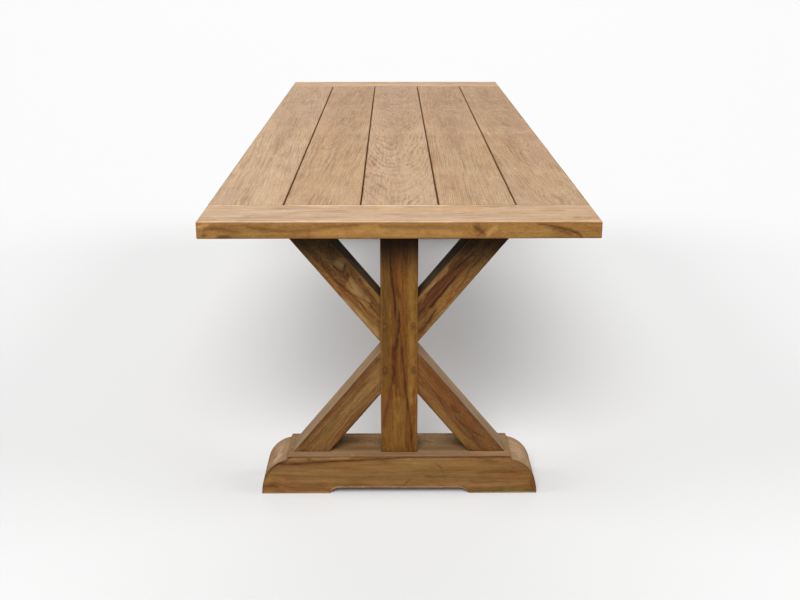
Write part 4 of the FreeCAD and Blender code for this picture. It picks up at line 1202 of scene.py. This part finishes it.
def foot_profile():
    """The right half of the foot's side view: its upper edge from the floor up to the
    middle, and its lower edge from the same corner in to the middle, with as many
    points each."""
    toe = (FOOT_HALF, 0.0)
    step_top = FOOT_TOP - FOOT_STEP
    turn_z = step_top - SHOULDER_RADIUS * (math.sin(CREST_LEAN) - math.sin(TURN_LEAN))
    side_radius = turn_z / (math.sin(TURN_LEAN) - math.sin(TOE_LEAN))
    side_x = FOOT_HALF - side_radius * math.cos(TOE_LEAN)
    side_z = -side_radius * math.sin(TOE_LEAN)
    shoulder_x = side_x + (side_radius - SHOULDER_RADIUS) * math.cos(TURN_LEAN)
    shoulder_z = turn_z - SHOULDER_RADIUS * math.sin(TURN_LEAN)
    plateau = FOOT_HALF - PLATEAU_INSET
    fillet = (plateau + STEP_SLANT + STEP_FILLET, step_top + STEP_FILLET)
    edge = (plateau - PLATEAU_ROUND, FOOT_TOP - PLATEAU_ROUND)
    leans = [math.degrees(lean) for lean in (TOE_LEAN, TURN_LEAN, CREST_LEAN)]
    upper = arc_points((side_x, side_z), side_radius, leans[0], leans[1], 9)[:-1]
    upper += arc_points((shoulder_x, shoulder_z), SHOULDER_RADIUS, leans[1], leans[2], 17)
    upper += arc_points(fillet, STEP_FILLET, 270, 190, 4)
    upper += arc_points(edge, PLATEAU_ROUND, 10, 90, 5)
    upper += line_points((plateau - 0.006, FOOT_TOP), (0.0, FOOT_TOP), 26) + [(0.0, FOOT_TOP)]
    pad_inner = FOOT_HALF - PAD_LENGTH
    relief_x = pad_inner - math.sqrt(2 * COVE_RADIUS * RELIEF_HEIGHT - RELIEF_HEIGHT**2)
    cove_top = math.acos(1 - RELIEF_HEIGHT / COVE_RADIUS)
    cove = [
        (relief_x + COVE_RADIUS * math.sin(a), RELIEF_HEIGHT - COVE_RADIUS * (1 - math.cos(a)))
        for a in np.linspace(cove_top, 0, 8)
    ]
    inner = 16
    lower = line_points(toe, (pad_inner, 0.0), len(upper) - len(cove) - inner) + cove
    lower += line_points((relief_x - 0.004, RELIEF_HEIGHT), (0.0, RELIEF_HEIGHT), inner - 1)
    lower += [(0.0, RELIEF_HEIGHT)]
    return upper, lower


def make_foot(end):
    """The shaped foot, swept from front to back through its side view."""
    upper, lower = foot_profile()
    upper = [(-x, z) for x, z in upper] + [(x, z) for x, z in reversed(upper[:-1])]
    lower = [(-x, z) for x, z in lower] + [(x, z) for x, z in reversed(lower[:-1])]
    count = len(upper)
    outline = [np.array(spot) for spot in (*lower, *reversed(upper[1:-1]))]
    inward = []
    for before, after in zip(outline[-1:] + outline[:-1], outline[1:] + outline[:1]):
        run = after - before
        inward.append(np.array((-run[1], run[0])) / (np.linalg.norm(run) or 1))
    half = FOOT_DEPTH / 2
    shift, seed, look = {"near": (70.0, 61, foot_teak), "far": (77.0, 62, trestle_teak)}[end]
    angles = np.radians(np.linspace(0, 90, 5))
    rounding = [(1 - math.sin(a), 1 - math.cos(math.pi / 2 - a)) for a in angles]
    stations = [(-half, share, inset) for share, inset in rounding]
    stations += [(y, 0.0, 0.0) for y in np.linspace(-half + FACE_MARGIN, half - FACE_MARGIN, 9)]
    stations += [(half, -share, inset) for share, inset in reversed(rounding)]
    points, faces, loops = [], [], []

    def add(x, y, z):
        points.append(Vector((x, y, z)))
        return len(points) - 1

    for y, share, inset in stations:
        loop = []
        for spot, inner_way in zip(outline, inward):
            place = Vector((spot[0], y, spot[1]))
            waney = min(1.0, max(0.0, (WANEY_FROM - spot[0]) / WANEY_FADE))
            waney *= spot[1] > WANEY_ABOVE and y < 0
            size = FOOT_ARRIS * (1 + 0.5 * wander(place, seed, 14) + 1.6 * waney)
            swell = 0.0005 * wander(place, seed + 2, 9) + 0.0002 * wander(place, seed + 3, 40)
            on_floor = spot[1] < ON_FLOOR
            moved = spot + inner_way * (size * inset - swell * (not on_floor))
            loop.append(add(moved[0], y + size * share, max(0.0, moved[1])))
        loops.append(loop)
    for first, second in zip(loops, loops[1:]):
        faces += band(first, second)

    for loop, out in ((loops[0], -1), (loops[-1], 1)):
        low_line = loop[:count]
        high_line = [loop[0], *reversed(loop[count:]), loop[count - 1]]
        grid = [low_line]
        for row in range(1, FACE_ROWS):
            line = [low_line[0]]
            for column in range(1, count - 1):
                spot = points[low_line[column]].lerp(points[high_line[column]], row / FACE_ROWS)
                dent = 0.0006 * wander(spot, seed + 4, 10)
                line.append(add(spot.x, spot.y + out * (dent - 0.0003), spot.z))
            grid.append(line + [low_line[-1]])
        grid.append(high_line)
        for first, second in zip(grid, grid[1:]):
            for i in range(count - 1):
                corners = tuple(dict.fromkeys((first[i], first[i + 1], second[i + 1], second[i])))
                if len(corners) > 2:
                    faces.append(corners)
    piece = new_piece(f"shaped_foot_{end}", points, faces)
    if end == "near":
        shake = [(x * MM, z * MM) for x, z, _ in FOOT_SHAKE]
        spots = []
        for (x0, z0), (x1, z1) in zip(shake, shake[1:]):
            for step in range(4):
                x, z = x0 + (x1 - x0) * step / 4, z0 + (z1 - z0) * step / 4
                spots.append(Vector((x, -half - 0.0002, z + 0.0005 * wander(Vector((x, 0, 0)), 5, 60))))
        carve(piece, spots, CHECK_WIDTH, CHECK_DEPTH, -Y)
    mark_grain(piece, Vector((0, 0, 0)), (X, Z, Y), (10.0, half), shift=shift, pith=(0.02, -0.1))
    return fit(on_trestle(piece, end), look, "trestle_timbers", f"foot_{end}")


def make_post(end):
    start = Vector((0, 0, FOOT_TOP - BITE))
    length = BEARER_UNDERSIDE - FOOT_TOP + 2 * BITE
    shift, seed, look = {"near": (90.0, 81, post_teak), "far": (95.0, 82, trestle_teak)}[end]
    piece = timber(
        f"square_post_{end}", start, Z, X, length, 2 * POST_HALF, 2 * POST_HALF, pith=(0.0, 0.07),
        shift=shift, seed=seed, spacing=0.012, side_spacing=0.01,
    )
    return fit(on_trestle(piece, end), look, "trestle_timbers", f"post_{end}")


def make_strut(row, side, hand, end):
    """A strut between the post's side and the bearer or the foot."""
    near_node = f"{row}_strut_{side}_near"
    level = BEARER_UNDERSIDE if row == "upper" else FOOT_TOP
    spring = low(near_node).z if row == "upper" else high(near_node).z
    rise = 1 if row == "upper" else -1
    reach = max(abs(low(near_node).x), abs(high(near_node).x))
    slope = math.atan2(abs(level - spring), reach - POST_HALF)
    along = Vector((hand * math.cos(slope), 0, rise * math.sin(slope)))
    across = Vector((-hand * math.sin(slope), 0, rise * math.cos(slope)))
    width = STRUT_WIDTHS[row]
    start = Vector((hand * POST_HALF, 0, spring + rise * width / math.cos(slope) / 2))
    trims = (
        (Vector((hand * (POST_HALF - BITE), 0, 0)), Vector((hand, 0, 0))),
        (Vector((0, 0, level + rise * BITE)), Vector((0, 0, rise))),
    )
    seed = 100 + 10 * (row == "lower") + 4 * (hand > 0) + (end == "far")
    piece = timber(
        f"{row}_brace_{side}_{end}", start, along, across, 0.0, width, STRUT_DEPTH, trims=trims,
        pith=(0.01, 0.09 if seed % 2 else -0.09), shift=seed * 1.3, seed=seed, spacing=0.012,
        side_spacing=0.009,
    )
    on_trestle(piece, end)
    look = strut_teak[row, side] if end == "near" else trestle_teak
    return fit(piece, look, "trestle_timbers", f"{row}_strut_{side}_{end}")


def make_bearer(end):
    first, last = low("bearer_near"), high("bearer_near")
    start = Vector((first.x, 0, (first.z + last.z) / 2))
    length, depth = last.x - first.x, last.z - first.z + 2 * SEAT
    piece = timber(
        f"flat_bearer_{end}", start, X, Y, length, last.y - first.y, depth, radii=(0.002,) * 4,
        lift=bevelled_ends(length, BEARER_BEVEL, BEARER_RISE), pith=(0.03, 0.15), shift=150.0,
        seed=91 if end == "near" else 92, spacing=0.014,
    )
    return fit(on_trestle(piece, end), trestle_teak, "under_timbers", f"bearer_{end}")


def make_stretcher():
    first, last = low("stretcher"), high("stretcher")
    clear = TRESTLE_Y - POST_HALF
    start = Vector((0, -clear - BITE, (first.z + last.z) / 2))
    length = 2 * clear + 2 * BITE
    piece = timber(
        "long_stretcher", start, Y, -X, length, last.x - first.x, last.z - first.z,
        radii=(0.004,) * 4, pith=(0.02, 0.08), shift=160.0, seed=95, ease=0.0014, spacing=0.022,
    )
    return fit(piece, trestle_teak, "trestle_timbers", "stretcher")


# ---------------------------------------------------------------------- the fastenings

def add_peg(points, faces, spot, way, length, seed):
    """A riven peg with eight uneven sides, from the middle of its domed head."""
    across = way.orthogonal().normalized()
    through = way.cross(across)
    stray = random.Random(seed)
    radii = [PEG_RADIUS * stray.uniform(0.9, 1.0) for _ in range(8)]
    loops = []
    for depth, share in (*PEG_HEAD, (length, PEG_TAPER), (length, 0.0)):
        loop = []
        for number, radius in enumerate(radii[: 1 if share == 0.0 else None]):
            angle = math.tau * number / len(radii)
            v, w = radius * share * math.cos(angle), radius * share * math.sin(angle)
            loop.append(len(points))
            points.append(spot + way * depth + across * v + through * w)
        loops.append(loop)
    for first, second in zip(loops, loops[1:]):
        faces += band(first, second)


def make_pegs(kind, name, node, spots, way, length, end=None):
    """Pegs as one piece, from the middles of their heads."""
    seed = PEG_SEEDS[kind]
    points, faces = [], []
    for number, spot in enumerate(spots):
        add_peg(points, faces, spot, way, length, seed + number)
    piece = new_piece(name, points, faces)
    across = way.orthogonal().normalized()
    heads = [(spot, way) for spot in spots[:1]]
    mark_grain(piece, spots[0], (way, across, way.cross(across)), (1.0, 1.0), seed, ends=heads)
    if end:
        on_trestle(piece, end)
    return fit(piece, peg_wood, "pegs", node)


def make_screws(end):
    """Two coach screws whose chamfered hexagonal heads hang below the bearer."""
    first, last = low("bearer_screws_near"), high("bearer_screws_near")
    flats, length = last.y - first.y, last.z - first.z
    corner = flats / math.sqrt(3)
    head = BEARER_UNDERSIDE - first.z
    # Heights from the head's lower side, with the radius there and whether it is round.
    rows = (
        (0.0, 0.0, True), (0.0, flats * 0.46, True), (0.0007, corner, False),
        (head - 0.0004, corner, False), (head, corner * 0.97, False),
        (head, SHANK_RADIUS, True), (length - 0.004, SHANK_RADIUS, True), (length, 0.0006, True),
    )
    points, faces = [], []
    sides = 24
    for x in (first.x + corner, last.x - corner):
        loops = []
        for height, radius, is_round in rows:
            loop = []
            for number in range(1 if radius == 0.0 else sides):
                angle = math.tau * number / sides
                reach = radius
                if not is_round:
                    off_flat = (angle + HEXAGON_SIDE / 2) % HEXAGON_SIDE - HEXAGON_SIDE / 2
                    reach = radius * math.cos(HEXAGON_SIDE / 2) / math.cos(off_flat)
                    reach = min(reach, radius * 0.985)
                loop.append(len(points))
                spot = (x + reach * math.cos(angle), reach * math.sin(angle), first.z + height)
                points.append(Vector(spot))
            loops.append(loop)
        for inner, outer in zip(loops, loops[1:]):
            faces += band(inner, outer)
        faces.append(tuple(loops[-1]))
    piece = new_piece(f"coach_screws_{end}", points, faces)
    shade(piece.data, 30)
    return fit(on_trestle(piece, end), screw_zinc, "coach_screws", f"bearer_screws_{end}")


def make_trestle(end):
    make_foot(end)
    make_post(end)
    make_bearer(end)
    for row in ("upper", "lower"):
        for side, hand in HANDS:
            make_strut(row, side, hand, end)
    make_screws(end)
    first, last = low("strut_pegs_near"), high("strut_pegs_near")
    heights = (last.z - PEG_RADIUS, first.z + PEG_RADIUS)
    row = [hand * (last.x - PEG_RADIUS) for _, hand in HANDS]
    spots = [Vector((x, -POST_HALF - PEG_PROUD, z)) for z in heights for x in row]
    make_pegs("face", f"face_pegs_{end}", f"strut_pegs_{end}", spots, Y, last.y - first.y, end)
    first, last = low("foot_peg_near"), high("foot_peg_near")
    spot = Vector((0, FOOT_DEPTH / 2 + PEG_PROUD / 2, (first.z + last.z) / 2))
    make_pegs("toe", f"toe_peg_{end}", f"foot_peg_{end}", [spot], -Y, last.y - first.y, end)
    first, last = low("stretcher_peg_near"), high("stretcher_peg_near")
    spot = (first + last) / 2
    spot.x, spot.y = last.x + PEG_PROUD / 2, spot.y + TRESTLE_Y
    make_pegs("tenon", f"tenon_peg_{end}", f"stretcher_peg_{end}", [spot], -X, last.x - first.x, end)


def make_breadboard_pegs(end):
    node = f"breadboard_pegs_{end}"
    first, last = low(node), high(node)
    spots = []
    for number in (1, 3, 5):
        board = f"top_board_{number}"
        x = (low(board).x + high(board).x) / 2
        spots.append(Vector((x, (first.y + last.y) / 2, first.z - PEG_PROUD / 2)))
    make_pegs("blind", f"blind_pegs_{end}", node, spots, Z, last.z - first.z)


for number in BOARDS:
    make_board(number)
for end in ENDS:
    make_breadboard(end)
    make_breadboard_pegs(end)
    make_trestle(end)
for name in ("near", "middle", "far"):
    make_batten(name)
make_stretcher()
for number in BOARDS[:-1]:
    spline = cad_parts[f"board_spline_{number}"]
    spline.data.materials.clear()
    spline.data.materials.append(spline_teak)

# -------------------------------------------------------------- camera, floor and light

# The camera's dip below level and its turn, in degrees, and its lens and sensor, in
# millimetres.
CAMERA_PLACE = (-0.0171, -4.1832, 1.4029)
CAMERA_DIP = 17.459
CAMERA_TURN = -0.398
LENS = 50.5
SENSOR = 36

camera = add_object("camera", bpy.data.cameras.new("camera"))
camera.location = CAMERA_PLACE
camera.rotation_euler = (math.radians(90 - CAMERA_DIP), 0, math.radians(CAMERA_TURN))
camera.data.lens = LENS
camera.data.sensor_width = SENSOR
bpy.context.scene.camera = camera

FLOOR_SIZE = 60
FLOOR_TONE = 0.55
SKY = 0.12
BACKDROP = 1.0
# A light's name, energy, width of its disc, tilt from overhead and turn, in degrees.
LIGHTS = (
    ("front light", 4.3, 40, 48, -6),
    ("left light", 1.7, 40, 62, -90),
    ("right light", 1.7, 40, 62, 90),
    ("back light", 1.3, 40, 60, 180),
)


def make_floor():
    mesh = bpy.data.meshes.new("floor")
    corners = [(x * FLOOR_SIZE, y * FLOOR_SIZE, 0) for x, y in ((-1, -1), (1, -1), (1, 1), (-1, 1))]
    mesh.from_pydata(corners, [], [(0, 1, 2, 3)])
    material = bpy.data.materials.new("pale floor")
    material.use_nodes = True
    surface = material.node_tree.nodes["Principled BSDF"]
    surface.inputs["Base Color"].default_value = (FLOOR_TONE, FLOOR_TONE, FLOOR_TONE, 1)
    surface.inputs["Roughness"].default_value = 0.9
    surface.inputs["Specular IOR Level"].default_value = 0.1
    mesh.materials.append(material)
    floor = add_object("floor", mesh)


make_floor()

world = bpy.data.worlds.new("studio")
world.use_nodes = True
bench = Bench(world.node_tree)
seen = bench.put("ShaderNodeLightPath").outputs["Is Camera Ray"]
strength = bench.maths("MULTIPLY_ADD", seen, BACKDROP - SKY, SKY)
background = world.node_tree.nodes["Background"]
background.inputs["Color"].default_value = (1, 1, 1, 1)
bench.links.new(strength, background.inputs["Strength"])
bpy.context.scene.world = world

for name, energy, disc, tilt, turn in LIGHTS:
    light = add_object(name, bpy.data.lights.new(name, "SUN"))
    light.data.energy = energy
    light.data.angle = math.radians(disc)
    light.rotation_euler = (math.radians(tilt), 0, math.radians(turn))
bpy.context.scene.view_settings.view_transform = "Standard"
